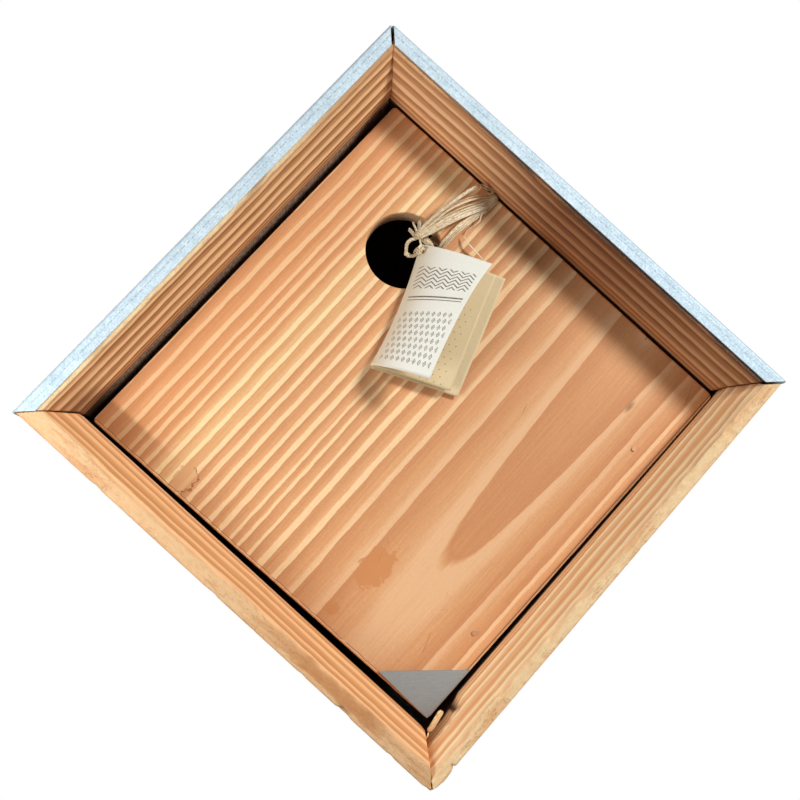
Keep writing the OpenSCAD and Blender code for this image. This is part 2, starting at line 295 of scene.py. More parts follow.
def sawn_board(name, node, tones, ring=4.4):
    """Softwood board: rings seen on the bevel, with a rough pale front edge."""
    out_way, along_way = SIDES[node]
    light, dark, edge = [shade(*c) for c in tones[:3]]
    ring_start, far_shade_share = tones[3:]
    f = Finish(name)
    p = f.place()
    # v runs out from the middle of the box, u along the board and y to the wall
    v = f.along(p, (out_way[0] / ROOT2, 0, out_way[1] / ROOT2))
    u = f.along(p, (along_way[0] / ROOT2, 0, along_way[1] / ROOT2))
    y = f.along(p, (0, 1, 0))
    depth = y - FRONT_Y
    inward = HALF - v
    # growth rings: a bent distance from the pith, cut into years
    slow = f.noise((u * 0.011, v * 0.04, y * 0.03), 1.0)
    wave = f.noise((u * 0.06, v * 0.25, y * 0.25))
    ragged = f.noise((u * 0.2, v * 1.6, y * 1.6))
    radius = depth + inward * 0.32 + (slow - 0.5) * 2.4 + (wave - 0.5) * 0.9 + (ragged - 0.5) * 0.5
    uneven = f.noise((radius * 0.2, 3.1, ring_start), 1.0)
    count = radius * (1.0 / ring) + (uneven - 0.5) * 0.7 + ring_start
    part = f.fraction(count)
    late = f.ease(part, 0.0, 0.16) * f.fade(part, 0.26, 0.92)
    # a second, weaker line within some rings
    half_year = f.fraction(count + 0.52)
    weak = f.ease(half_year, 0.0, 0.1) * f.fade(half_year, 0.12, 0.4)
    fibre = f.noise((u * 0.07, v * 3.4, y * 3.4), 3.0, 0.65)
    streak = f.noise((u * 0.03, v * 1.1, y * 1.1))
    dust = f.noise(f.scaled(p, 2.6))
    tone = late * 0.95 + weak * streak * 0.5 + (fibre - 0.5) * 0.55 + (dust - 0.5) * 0.22
    tone = f.held(tone + (streak - 0.5) * 0.5)
    wood = f.blend(tone, light, dark)
    # the far part of one board is painted darker and browner: painted shade
    painted_far_shade = f.ease(u, -64.0, 0.0) * (1.0 - f.ease(u, 14.0, 84.0) * 0.35) * far_shade_share
    wood = f.blend(painted_far_shade, wood, f.blend(tone, shade(166, 114, 76), shade(108, 60, 28)))
    # past the bevel the inner face is painted darker as painted shade, and on the lower left board paler
    # and greyer as painted bounce light
    past_bevel = f.ease(depth, 13.2, 14.2)
    if node == "lower_left_board":
        painted_bounce_light = f.blend(tone, shade(255, 216, 176), shade(214, 168, 130))
        wood = f.blend(past_bevel * f.ease(u, -70.0, 40.0), wood, painted_bounce_light)
    else:
        wood = f.blend(past_bevel * 0.35, wood, f.blend(0.5, wood, dark))
    # past the panel's face the wall is painted dark, painted shade; at the left corner it is painted a
    # lighter grey with saw lines, painted light reaching deeper
    wall = shade(70, 44, 26)
    if node == "upper_left_board":
        saw_lines = f.noise((u * 1.3, v * 1.3, y * 0.2), 3.0, 0.6)
        grey = f.blend(f.ease(saw_lines, 0.35, 0.65), shade(206, 176, 150), shade(150, 120, 98))
        wall = f.blend(f.ease(u, 62.0, 86.0), grey, wall)
        # painted shadow on the bevel and inner face by the left corner
        painted_corner_shadow = f.ease(u + depth * 0.5, 78.0, 92.0) * f.ease(depth, 3.0, 12.0)
        wood = f.blend(painted_corner_shadow * 0.75, wood, f.blend(1.0, wood, shade(150, 130, 120), "MULTIPLY"))
    wood = f.blend(f.ease(depth, 22.0, 26.0), wood, wall)
    planed = f.blend(tone, light, f.blend(0.7, light, dark))
    wood = f.blend(f.fade(inward, 0.35, 0.7) * f.ease(depth, 0.8, 1.6), wood, planed)
    # the sawn front edge: pale, torn, with shallow pits and a browner band where the saw ran out
    torn = f.noise((u * 0.16, v * 0.6, 0.0), 4.0, 0.6)
    front = f.fade(depth + torn * 0.9, 0.5, 1.4)
    saw = f.noise((u * 0.45, v * 1.2, y * 0.6), 5.0, 0.72)
    cloud = f.noise((u * 0.035, v * 0.22, 2.0))
    stain = f.ease(cloud, 0.5, 0.66)
    if node == "lower_left_board":
        browner = f.fade(u, -44.0, -14.0) * f.ease(inward + torn * 4.0, 3.2, 4.4)
        browner = browner * f.ease(u + torn * 16.0, -76.0, -60.0)
        stain = f.most(stain * 0.8, browner)
        edge = f.blend(browner * f.ease(saw, 0.3, 0.5), edge, shade(184, 134, 88))
    if node.startswith("upper"):
        # next to the ridge the strip beside the flap is plain wood
        edge = f.blend(f.ease(u, -84.0, -20.0), f.blend(0.5, light, dark), edge)
    pale = f.blend(f.ease(saw, 0.5, 0.7) * 0.85, edge, f.blend(0.55, edge, dark))
    pale = f.blend(stain * 0.85, pale, f.blend(0.8, edge, dark))
    if node.startswith("lower"):
        # thin torn lines and a darker outer arris
        wavy = f.noise((u * 0.13, v * 0.5, 5.0), 4.0, 0.62)
        lines = f.fade(abs(wavy - 0.5), 0.004, 0.018) * f.ease(cloud, 0.44, 0.54)
        pale = f.blend(lines * 0.55, pale, shade(150, 100, 60))
        pale = f.blend(f.fade(inward, 0.3, 0.9) * 0.4, pale, f.blend(0.8, edge, dark))
    colour = f.blend(front, wood, pale)
    # the hollow of the broken inner corner is painted near black: painted shade
    if node == "lower_right_board":
        broken = f.ease(u, 73.0, 78.0) * f.fade(v + (torn - 0.5) * 2.0, 94.4, 95.2)
        colour = f.blend(broken * f.ease(depth, 8.0, 10.0), colour, shade(60, 34, 18))
    f.set(base_color=colour, roughness=0.62, specular_ior_level=0.25)
    f.relief(fibre * 0.4 + saw * front + late * 0.25, 0.0004, 0.8)
    return f.mat


# width of each growth ring of the panel, from the flame outwards, in millimetres
RING_WIDTHS = (14, 14, 11.5, 8, 7.5, 6.5, 5.5, 4, 5, 5.5, 6, 5.5, 5, 6, 5.5, 6, 4.5, 4, 5.5, 7, 6, 6)
# the flame of the panel: its middle line, how far its tip lies below the top, and its roundness
FLAME_AXIS = 56.0
FLAME_TIP = 117.5
FLAME_BOW = 13.9
FLAME_POWER = 2.7
# marks on the panel, by their place on the upright square
KNOT_AT = (69.6, 62.0, 0.0)
RESIN_AT = (35.6, -57.0, 0.0)
SMALL_RESIN_AT = (33.2, -80.5, 0.0)
TORN_AT = (-44.5, -82.4, 0.0)


def panel_years(f, u, v, y):
    """Distance from the middle of the flame, and the year ring it falls in."""
    sway = f.noise((u * 0.03, v * 0.022, 0.0))
    shake = f.noise((u * 0.35, v * 0.09, y * 0.2))
    ragged = f.noise((u * 2.0, v * 0.3, y * 1.0))
    across = u - FLAME_AXIS + (sway - 0.5) * 1.4 + (shake - 0.5) * 0.9 + (ragged - 0.5) * 0.45
    below = f.most(PANEL_TOP - v, 0.0) * (FLAME_BOW ** FLAME_POWER / FLAME_TIP)
    reach = f.math("POWER", f.math("POWER", abs(across), FLAME_POWER) + below, 1.0 / FLAME_POWER)
    # the rings on the right of the flame are closer
    reach = reach + f.ease(across, 0.0, 1.0) * (f.most(reach - FLAME_BOW, 0.0) * 0.5)
    total = float(sum(RING_WIDTHS))
    points = [(0.0, 0.0)]
    run = 0.0
    for i, width in enumerate(RING_WIDTHS):
        run += width
        points.append((run / total, (i + 1) / len(RING_WIDTHS)))
    return reach, f.curve(reach * (1.0 / total), points) * float(len(RING_WIDTHS))


def panel_marks(f, wood, u, v):
    """A knot fleck, two smears of resin, a torn patch with a crack round it and hairline scratches."""
    place = f.join(u, v, 0.0)
    knot = f.far_from(place, KNOT_AT, (1.0, 0.34, 1.0))
    wood = f.blend(f.fade(knot, 0.2, 1.5) * 0.65, wood, shade(120, 74, 44))
    blot = f.noise((u * 0.3, v * 0.3, 4.0), 3.0, 0.6) - 0.5
    smear = f.far_from(place, RESIN_AT, (0.8, 0.5, 1.0)) + blot * 9.0
    smear = f.least(smear, f.far_from(place, SMALL_RESIN_AT) + 2.2 + blot * 6.0)
    wood = f.blend(f.fade(smear, 4.4, 5.4) * 0.8, wood, shade(206, 138, 84))
    torn = f.far_from(place, TORN_AT, (1.0, 0.8, 1.0)) + blot * 5.0
    wood = f.blend(f.fade(torn, 4.2, 4.6) * 0.7, wood, shade(224, 168, 118))
    crack = f.fade(abs(torn - 4.6), 0.08, 0.3) * f.ease(u, -46.0, -43.0)
    wood = f.blend(crack * 0.75, wood, shade(128, 78, 44))
    hair = abs(f.fraction(u * 0.031 + v * 0.0105) - 0.5)
    some = f.ease(f.noise((u * 0.05, v * 0.05, 7.0), 1.0), 0.6, 0.66)
    return f.blend(f.fade(hair, 0.003, 0.008) * some * 0.5, wood, shade(160, 100, 60))


def panel_arrises(f, wood, u, v):
    """Pale lower arrises, a painted highlight, with a dark crease inside them, sharp on the right and torn
    on the left; the crease on the right is partly a dark joint and partly painted shade.
    """
    left, bottom, right = PANEL_CORNERS[:3]
    lean = (right[0] - bottom[0]) / (right[1] - bottom[1])
    low_right = bottom[0] - bottom[1] * lean + v * lean - u
    # the lower right arris is painted pale as painted highlight, and the crease beside it darker, partly as
    # painted shade
    wood = f.blend(f.fade(low_right, 0.7, 0.9) * 0.7, wood, shade(250, 214, 170))
    wood = f.blend(f.fade(abs(low_right - 1.15), 0.1, 0.3) * 0.75, wood, shade(92, 56, 34))
    slope = (bottom[1] - left[1]) / (bottom[0] - left[0])
    from_edge = v - (left[1] - left[0] * slope + u * slope)
    low_left = from_edge + (f.noise((u * 0.2, 0.0, 0.0)) - 0.5) * 1.3
    # the torn lower left arris is painted pale as painted highlight
    wood = f.blend(f.fade(low_left, 1.05, 1.25) * 0.6, wood, shade(246, 194, 146))
    split = f.fade(abs(low_left - 1.25), 0.06, 0.26) * f.ease(f.noise((u * 0.12, 3.0, 0.0)), 0.34, 0.44)
    wood = f.blend(split * 0.7, wood, shade(110, 66, 38))
    # painted shadow of the board on the panel's left corner
    painted_corner_shadow = f.fade(from_edge, 9.6, 12.4) * f.fade(u, -76.0, -48.0)
    return f.blend(painted_corner_shadow * 0.9, wood, f.blend(1.0, wood, shade(204, 192, 180), "MULTIPLY"))


def flame_panel(name, light, dark, wide):
    """Planed panel with close rings on one side and a flame of wide rings on the other."""
    f = Finish(name)
    p = f.place()
    u = f.along(p, (1 / ROOT2, 0, -1 / ROOT2))
    v = f.along(p, (1 / ROOT2, 0, 1 / ROOT2))
    y = f.along(p, (0, 1, 0))
    reach, count = panel_years(f, u, v, y)
    part = f.fraction(count)
    odd = f.noise((f.floor(count) * 7.3, 0.5, 0.5), 0.0)
    near = f.fade(reach, 30.0, 52.0)
    fibre = f.noise((u * 4.2, v * 0.09, y * 3.0), 3.0, 0.65)
    streak = f.noise((u * 1.1, v * 0.022, y * 0.6))
    pores = f.noise((u * 3.4, v * 2.2, y * 2.0))
    mottle = f.noise((u * 1.1, v * 0.8, y * 0.8), 3.0, 0.7)
    # close rings: a sharp pale line, a quick fall to orange, then a slow decline
    line = 0.1 + odd * (0.22 + streak * 0.3)
    close = f.ease(part, line, line + 0.13) * 0.55 + f.ease(part, 0.35, 1.0) * 0.35
    broad = f.ease(part, 0.1, 0.4) * 0.45 + f.ease(part, 0.4, 1.0) * 0.45
    rise = f.ease(part, 0.0, 0.035)
    tone = (near * broad + (1.0 - near) * close) * rise + (1.0 - rise)
    tone = tone + (fibre - 0.5) * 0.55 + (pores - 0.5) * 0.55 + (mottle - 0.5) * 0.45
    tone = f.held(tone + (streak - 0.5) * 0.55)
    close_wood = f.ramp(tone, (0.0, light), (0.45, shade(230, 171, 121)),
                        (1.0, shade(204, 142, 94)))
    broad_wood = f.ramp(tone, (0.0, wide), (0.5, shade(220, 160, 110)), (1.0, dark))
    wood = f.blend(near, close_wood, broad_wood)
    # a yellower streak and a redder left side
    yellow = f.ease(u, -62.0, -54.0) * f.fade(u, -48.0, -40.0)
    wood = f.blend(yellow * 0.5, wood, f.blend(tone, shade(255, 232, 176), shade(226, 168, 110)))
    ruddy = f.fade(u, -66.0, -50.0)
    wood = f.blend(ruddy * 0.5, wood, f.blend(0.5, wood, shade(216, 136, 78)))
    wood = panel_marks(f, wood, u, v)
    wood = panel_arrises(f, wood, u, v)
    # the sawn wall of the entrance and the back are rough and dull
    dull = f.blend(f.ease(pores, 0.35, 0.65), shade(224, 188, 148), shade(170, 132, 98))
    wood = f.blend(f.ease(y, PANEL_Y + 0.6, PANEL_Y + 1.4), wood, dull)
    f.set(base_color=wood, roughness=0.5, specular_ior_level=0.3)
    f.relief(fibre * 0.6 + pores * 0.4 + tone * -0.5, 0.00025, 0.6)
    return f.mat


def zinc_sheet(name, face, dull):
    """Pale zinc coating with a fine spangle, a faint crease along each flap and an outer bend painted
    greyer as painted shade.
    """
    f = Finish(name)
    p = f.place()
    x, y, z = f.parts(p)
    out = (abs(x) + z) * (1.0 / ROOT2)
    along = (z - abs(x)) * (1.0 / ROOT2)
    spot = f.cells(p, 0.8)
    fine = f.noise(p, 3.0, 0.7, scale=1.3)
    cloud = f.noise(p, scale=0.1)
    blot = f.noise(p, 3.0, 0.7, scale=0.45)
    drawn = f.noise((out * 1.6, along * 0.12, y * 1.6), 3.0, 0.6)
    tone = f.ease(spot, 0.1, 0.8) * 0.3 + f.ease(fine, 0.42, 0.66) * 0.45
    tone = tone + (drawn - 0.5) * 0.9 + (blot - 0.5) * 1.1
    # both ends of the roof are painted duller than its middle: painted shade
    tone = tone + f.ease(x, 20.0, 130.0) * 0.4 + f.fade(x, -150.0, -90.0) * 0.25
    tone = f.held(tone + (cloud - 0.45) * 0.8)
    colour = f.blend(tone, face, dull)
    broken = f.ease(f.noise((along * 0.8, 0.0, 0.0)), 0.42, 0.58)
    crease = f.fade(abs(out - (HALF - 2.3)), 0.08, 0.3)
    colour = f.blend(crease * broken * 0.8, colour, shade(132, 152, 166))
    # the outer bend is painted greyer: painted shade where it turns from the light
    rim = f.ease(out, HALF - 0.9, HALF + 0.3)
    colour = f.blend(rim * 0.45, colour, shade(150, 160, 166))
    f.set(base_color=colour, metallic=0.2, specular_ior_level=0.5)
    f.set(roughness=0.42 + fine * 0.22)
    f.relief(fine + spot * 0.4, 0.0001, 0.6)
    return f.mat


def plain_metal(name, colour, rough=0.35):
    """Bare brushed metal."""
    f = Finish(name)
    p = f.place()
    brush = f.noise(f.stretched(p, (0.15, 1.0, 5.0)), 3.0)
    grain = f.noise(p, scale=1.3)
    tone = f.held(brush * 0.5 + grain * 0.4)
    f.set(base_color=f.blend(tone, colour, f.blend(0.6, colour, shade(90, 88, 86))), metallic=0.7)
    f.set(roughness=rough + brush * 0.2)
    f.relief(brush, 0.0001, 0.4)
    return f.mat


def card(name, paper, ink, printed):
    """Soft card with fibres: the cover has a woven band, two lines and lozenges, a leaf has dots."""
    f = Finish(name)
    p = f.place()
    fibre = f.noise(p, 4.0, 0.7, scale=1.4)
    cloud = f.noise(p, scale=0.08)
    tone = f.held(f.ease(fibre, 0.3, 0.75) * 0.5 + (cloud - 0.4) * 0.5)
    colour = f.blend(tone, paper, f.blend(0.16, paper, shade(150, 120, 80)))
    # a runs across the leaf from its fold, b down it
    a, b = f.lay()
    rows = b * 19.0
    shift = f.math("MODULO", f.floor(rows), 2.0) * 0.5
    across = abs(f.fraction(a * 11.0 + shift) - 0.5)
    size = across + abs(f.fraction(rows) - 0.5) * 0.8
    dot = f.fade(size, 0.08, 0.12)
    wear = f.ease(fibre, 0.3, 0.5, 0.6, 1.0)
    if printed:
        ring = f.fade(size, 0.3, 0.34) * f.ease(size, 0.19, 0.23)
        lozenges = f.most(ring, dot) * (f.ease(b, 0.52, 0.521) * f.fade(b, 0.945, 0.946))
        # short slanting strokes that turn from column to column
        columns = a * 12.0
        flip = f.math("MODULO", f.floor(columns), 2.0) * 2.0 - 1.0
        slant = f.fraction(b * 30.0 + columns * flip)
        woven = f.fade(abs(slant - 0.5), 0.1, 0.2) * (f.ease(b, 0.16, 0.161) * f.fade(b, 0.34, 0.341))
        wide_line = f.fade(abs(b - 0.41), 0.004, 0.008)
        thin_line = f.fade(abs(b - 0.435), 0.002, 0.005)
        inside = f.ease(a, 0.08, 0.085) * f.fade(a, 0.92, 0.925)
        marks = f.most(f.most(lozenges, woven), f.most(wide_line, thin_line)) * inside
        colour = f.blend(marks * wear, colour, ink)
        # the card is painted browner where it bends round the fold: painted shade on the side turned from
        # the light
        colour = f.blend(f.fade(a, 0.0, 0.36) * 0.5, colour, shade(218, 200, 166))
    else:
        column = f.ease(a, 0.52, 0.53) * (f.fade(a, 0.9, 0.91) * f.ease(b, 0.3, 0.301))
        colour = f.blend(dot * column * wear * 0.8, colour, ink)
        # painted shadow of the cover on the leaf
        colour = f.blend(f.fade(a, 0.45, 0.95) * 0.5, colour, shade(176, 146, 100))
    f.set(base_color=colour, roughness=0.75, specular_ior_level=0.2)
    f.relief(fibre, 0.00015, 0.5)
    return f.mat


def dry_fibre(name, light, dark):
    """Raffia: pale dry ribbon with fine lines along it."""
    f = Finish(name)
    a, b = f.lay()
    lines = f.noise((a * 0.7, b * 14.0, 0.0), 3.0, 0.6)
    slow = f.noise((a * 0.15, b * 2.0, 4.0))
    tone = f.held(f.ease(lines, 0.36, 0.66) * 0.85 + (slow - 0.3) * 0.7)
    f.set(base_color=f.blend(tone, light, dark), roughness=0.45, specular_ior_level=0.4)
    f.relief(lines, 0.0002, 0.6)
    return f.mat


# ---------------------------------------------------------------- mesh tools


def soft_noise(points, size, seed):
    """Smooth noise of -1 to 1 at many points; size is the length of one wave."""
    q = np.asarray(points, float) / size + seed * 17.31
    cell = np.floor(q).astype(np.int64)
    f = q - cell
    f = f * f * (3 - 2 * f)
    total = np.zeros(len(q))
    for dx in (0, 1):
        for dy in (0, 1):
            for dz in (0, 1):
                c = cell + np.array([dx, dy, dz])
                h = (c[:, 0] * 73856093) ^ (c[:, 1] * 19349663) ^ (c[:, 2] * 83492791)
                h = (h ^ (h >> 13)) * 1274126177 & 0x7FFFFFFF
                r = (h % 10007) / 5003.0 - 1.0
                wx = f[:, 0] if dx else 1 - f[:, 0]
                wy = f[:, 1] if dy else 1 - f[:, 1]
                wz = f[:, 2] if dz else 1 - f[:, 2]
                total += r * wx * wy * wz
    return total


def falling(x, width, start=0.0):
    """1 up to the start, then down to 0 over the width."""
    return np.clip(1 - (x - start) / width, 0, 1)


def rising(x, width, start=0.0):
    """0 up to the start, then up to 1 over the width."""
    return np.clip((x - start) / width, 0, 1)


def hump(x, at, width):
    """A soft hump of height 1 at a place."""
    return np.exp(-((x - at) / width) ** 2)


def unit(vector):
    """The same way with a length of 1; also for rows of vectors."""
    return vector / np.linalg.norm(vector, axis=-1, keepdims=True)


def make_piece(name, points, faces, mat, uvs=None, smooth=True):
    """A mesh object from points in millimetres, with its faces turned outwards."""
    mesh = bpy.data.meshes.new(name)
    mesh.from_pydata([tuple(q) for q in np.asarray(points) * MM], [], faces)
    mesh.update()
    if uvs is not None:
        layer = mesh.uv_layers.new(name="lay")
        loops = np.zeros(len(mesh.loops), np.int64)
        mesh.loops.foreach_get("vertex_index", loops)
        layer.data.foreach_set("uv", np.asarray(uvs, float)[loops].ravel())
    if smooth:
        mesh.polygons.foreach_set("use_smooth", [True] * len(mesh.polygons))
    mesh.materials.append(mat)
    shell = bmesh.new()
    shell.from_mesh(mesh)
    bmesh.ops.recalc_face_normals(shell, faces=shell.faces)
    shell.to_mesh(mesh)
    shell.free()
    obj = bpy.data.objects.new(name, mesh)
    bpy.context.scene.collection.objects.link(obj)
    return obj


def stand_in(obj, slot, *nodes):
    """The piece takes the nodes' place and rides on the body."""
    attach(obj, "root")
    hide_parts(*nodes)


def repaint(node, mat, round_mm):
    """A CAD node keeps its shape and takes a finish and softened arrises."""
    obj = NODES[node]
    obj.data.materials.clear()
    obj.data.materials.append(mat)
    soft = obj.modifiers.new("arris", "BEVEL")
    soft.width = round_mm * MM
    soft.segments = 2
    soft.limit_method = "ANGLE"
    soft.angle_limit = math.radians(40)
    soft.harden_normals = True


def strip_faces(rows, cols, loop_rows=False, loop_cols=False):
    """Quads of a grid of rows by cols points."""
    faces = []
    for i in range(rows if loop_rows else rows - 1):
        for j in range(cols if loop_cols else cols - 1):
            a = i * cols + j
            b = i * cols + (j + 1) % cols
            k = ((i + 1) % rows) * cols
            faces.append((a, b, k + (j + 1) % cols, k + j))
    return faces


def tube_faces(rows, cols):
    """Quads of a closed tube of rings, and its two ends."""
    first = tuple(range(cols))[::-1]
    last = tuple(range((rows - 1) * cols, rows * cols))
    return strip_faces(rows, cols, loop_cols=True) + [first, last]


def smooth_line(knots, count):
    """Even points on a smooth curve through the knots."""
    k = np.asarray(knots, float)
    k = np.vstack([2 * k[0] - k[1], k, 2 * k[-1] - k[-2]])
    out = []
    for i in range(1, len(k) - 2):
        for t in np.linspace(0, 1, 24, endpoint=False):
            a, b, c, d = k[i - 1], k[i], k[i + 1], k[i + 2]
            out.append(0.5 * (2 * b + (c - a) * t + (2 * a - 5 * b + 4 * c - d) * t ** 2
                              + (3 * b - a - 3 * c + d) * t ** 3))
    out.append(k[-2])
    out = np.array(out)
    run = np.concatenate([[0], np.cumsum(np.linalg.norm(np.diff(out, axis=0), axis=1))])
    want = np.linspace(0, run[-1], count)
    return np.stack([np.interp(want, run, out[:, i]) for i in range(3)], 1)


# ---------------------------------------------------------------- boards


def board_profile(edge_w, bevel_deep, thick, ease):
    """Points [y, out] round the section of a board."""
    # each corner with the number of points on the side that follows it
    corners = [
        (FRONT_Y, HALF, 12), (FRONT_Y, HALF - edge_w, 20), (FRONT_Y + bevel_deep, HALF - thick, 24),
        (0.0, HALF - thick, 4), (0.0, HALF, 28),
    ]
    places = np.array([corner[:2] for corner in corners], float)
    out = []
    for i, corner in enumerate(corners):
        a, b, c = places[i - 1], places[i], places[(i + 1) % len(corners)]
        start, end = b + unit(a - b) * ease, b + unit(c - b) * ease
        for t in (0.0, 0.25, 0.5, 0.75):
            out.append((1 - t) ** 2 * start + 2 * t * (1 - t) * b + t ** 2 * end)
        stop = c + unit(b - c) * ease
        for t in np.linspace(0, 1, corner[2], endpoint=False):
            out.append(end + (stop - end) * t)
    return np.array(out)


# how far each mitre stands open at the board's near and far end, in millimetres
MITRES = {
    "upper_right_board": (0.02, 0.2),
    "upper_left_board": (0.02, 0.24),
    "lower_right_board": (0.04, 0.07),
    "lower_left_board": (0.07, 0.16),
}


# the splinters left standing in the broken corner: places along and out of the lower right board and
# deeper than SPLINTER_Y, then their width, thickness and twist
SPLINTER_Y = FRONT_Y + 12.5
SPLINTERS = (
    (((81.0, 90.7, -0.6), (84.5, 91.2, -0.8), (88.0, 91.9, -0.4), (90.4, 92.2, 0.4)), 2.3, 0.9, (0.2, 0.5)),
    (((90.6, 92.4, 0.5), (91.8, 93.0, 0.2), (93.0, 93.2, 0.6)), 0.8, 0.5, (0.2, 0.6)),
)


def worn_edge(node, sizes, rough, seed, pts, edge_w, torn):
    """How far the front is worn back and the sides are worn in, for points [u, y, v] of a board."""
    u = pts[:, 0]
    depth = pts[:, 1] - FRONT_Y
    inside = HALF - pts[:, 2]
    front = falling(depth, 1.2)
    bevel = falling(depth, sizes.bevel_deep + 0.5) * rising(inside, 2, edge_w - 1.5)
    wander = soft_noise(pts * [1, 0, 0], 21, seed) * 0.6 + soft_noise(pts * [1, 0, 0], 6, seed + 1) * 0.4
    sink = np.clip(torn * 0.5 + 0.35, 0, 1) * 0.42
    patch = np.clip(soft_noise(pts * [0.7, 1, 1.6], 9, seed + 4) - 0.3, 0, 1) * 0.54
    back = (sink + patch) * front * rough
    # the line between edge and bevel wanders where the saw tore
    ridge = hump(inside, edge_w, 1.1) * falling(depth, 2.5)
    back = back + ridge * np.clip(wander + 0.25, 0, 1) * 0.9 * rough
    grain = soft_noise(pts * [0.06, 1, 1], 1.1, seed + 5) * 0.07
    out = (wander * 0.35 * rough + grain) * bevel
    nick = np.clip(soft_noise(pts * [1, 0.5, 1], 5, seed + 6) - 0.45, 0, 1) * falling(inside, 0.8)
    out = out - nick * front * rough * 0.9
    if node == "lower_right_board":
        # bruised lower tip with a deep nick above it
        out = out + 0.45 * hump(u, 99, 4) * falling(inside, 4) * falling(depth, 12)
        out = out - 0.8 * (rising(u, 3, HALF - 3) * falling(inside, 4) * falling(depth, 7)) ** 0.8
        bite = hump(u, sizes.nick_at, 0.7) * falling(inside, 2.4) * falling(depth, 3)
        out = out - 0.8 * bite
        back = back + 0.9 * bite
        # the inner corner is broken out
        chipped = rising(u - 2 * torn, 8, 72) * rising(inside + torn, 1.5, 12.6 - THIN)
        out = out + 2.6 * chipped * rising(depth, 4, 7) * falling(depth, 8, 24)
    if node == "lower_left_board":
        out = out - 0.8 * falling(HALF + u, 5) * falling(inside, 3) * falling(depth, 5)
        # a torn notch in the outer arris
        notch = hump(u - torn, sizes.notch_at, 2.2) * falling(inside, 1.9) * falling(depth, 5)
        out = out - 1.1 * notch
        back = back + 1.2 * notch
    return back, out


def mitre_gap(node, rough, seed, pts, far_end):
    """How far each point stands off the mitre, a hair open, with torn stretches."""
    depth = pts[:, 1] - FRONT_Y
    inside = HALF - pts[:, 2]
    near, far = MITRES[node]
    gap = np.where(far_end, far, near) * ROOT2
    deep = rising(inside, 8, 7)
    # a dark joint under each end of the flap
    under_flap = falling(inside, 0.6, 6.0) * falling(depth, 0.8, 8.2)
    if node == "upper_left_board":
        gap = gap + 0.5 * deep * far_end
    if node == "upper_right_board":
        gap = gap + 1.0 * under_flap * far_end
    if node == "lower_right_board":
        gap = gap + 1.3 * under_flap * ~far_end
        gap = gap + 0.7 * rising(deep, 0.7, 0.3) * far_end
        gap = gap + 0.45 * falling(inside, 0.4, 2.2) * falling(depth, 0.8, 3.2) * far_end
    gap = gap + 0.22 * rough * np.clip(soft_noise(pts * [0, 1, 1], 3, seed + 7) - 0.15, 0, 1)
    if node.startswith("upper"):
        # a dark hollow behind the open slot at the ridge
        slot = falling(depth, 0.8, 2.4) * falling(inside, 0.8, 4.8) * ~far_end
        gap = gap + slot * (1.0 + 0.5 * falling(inside, 5))
    return gap


def build_board(node, sizes, mat, rough, seed):
    """One mitred board with a torn front edge."""
    thin = THIN if node == "lower_right_board" else 0.0
    edge_w = sizes.edge_w - thin
    section = board_profile(edge_w, sizes.bevel_deep, sizes.board_t - thin, sizes.arris)
    rows, cols = sizes.stations, len(section)
    share = np.repeat(np.linspace(-1, 1, rows), cols)
    y = np.tile(section[:, 0], rows)
    v = np.tile(section[:, 1], rows)
    pts = np.stack([share * v, y, v], 1)
    torn = soft_noise(pts * [1, 1.5, 1.4], 2.6, seed + 2) * 0.6
    torn = torn + soft_noise(pts * [1.2, 2, 2.4], 1.2, seed + 3) * 0.4
    back, out = worn_edge(node, sizes, rough, seed, pts, edge_w, torn)
    v = np.minimum(v + out, HALF + 0.9)
    u = share * (v - mitre_gap(node, rough, seed, pts, share > 0))
    if node.startswith("upper"):
        over = np.maximum(v - u - (2 * HALF - sizes.ridge_cut), 0)
        u = u + over / 2
        v = v - over / 2
    out_way, along_way = SIDES[node]
    x, z = [(out_way[k] * v + along_way[k] * u) / ROOT2 for k in (0, 1)]
    faces = tube_faces(rows, cols)
    # where the section runs the other way round, so do the faces
    if out_way[0] * along_way[1] > out_way[1] * along_way[0]:
        faces = [face[::-1] for face in faces]
    obj = make_piece(node + "_sawn", np.stack([x, y + back, z], 1), faces, mat)
    for poly in list(obj.data.polygons)[-2:]:
        poly.use_smooth = False
    stand_in(obj, "board_wood", node)


class NestBoxBoards(bpy.types.PropertyGroup):
    """Sizes of the four boards."""
    edge_w: FloatProperty(
        name="Edge width", description="Flat front edge beside the bevel, mm", default=6.9)
    bevel_deep: FloatProperty(name="Bevel depth", description="Depth of the bevel, mm", default=13.5)
    board_t: FloatProperty(name="Thickness", description="Thickness of a board, mm", default=15.0)
    arris: FloatProperty(name="Arris", description="Softening of the corners, mm", default=0.45)
    ridge_cut: FloatProperty(
        name="Ridge cut", description="Corner taken off under the ridge, mm", default=1.5)
    stations: IntProperty(name="Stations", description="Cross cuts along a board", default=300)
    notch_at: FloatProperty(
        name="Notch", description="Place of the notch in the lower left edge, mm", default=-61.0)
    nick_at: FloatProperty(
        name="Nick", description="Place of the nick in the lower right edge, mm", default=94.0)


class NESTBOX_OT_boards(bpy.types.Operator):
    """Build the four mitred boards"""
    bl_idname = "nestbox.boards"
    bl_label = "Boards"

    def execute(self, context):
        sizes = context.scene.nestbox_boards
        for i, node in enumerate(SIDES):
            rough = UPPER_ROUGH if node.startswith("upper") else LOWER_ROUGH
            mat = sawn_board("pine_" + node, node, BOARD_TONES[node])
            build_board(node, sizes, mat, rough, 3 + i * 11)
        splinters = []
        for i, (places, width, thick, twist) in enumerate(SPLINTERS):
            line = [((v - u) / ROOT2, SPLINTER_Y + off, -(v + u) / ROOT2) for u, v, off in places]
            splinters.append((line, width, thick, twist, 61 + i, (0.7, 0.0, -0.7)))
        pale = dry_fibre("pine_splinter", shade(255, 226, 172), shade(224, 176, 120))
        strand_piece("lower_right_splinters", splinters, pale, [], "board_wood")
        return {"FINISHED"}


# ---------------------------------------------------------------- panel, roof and fixings


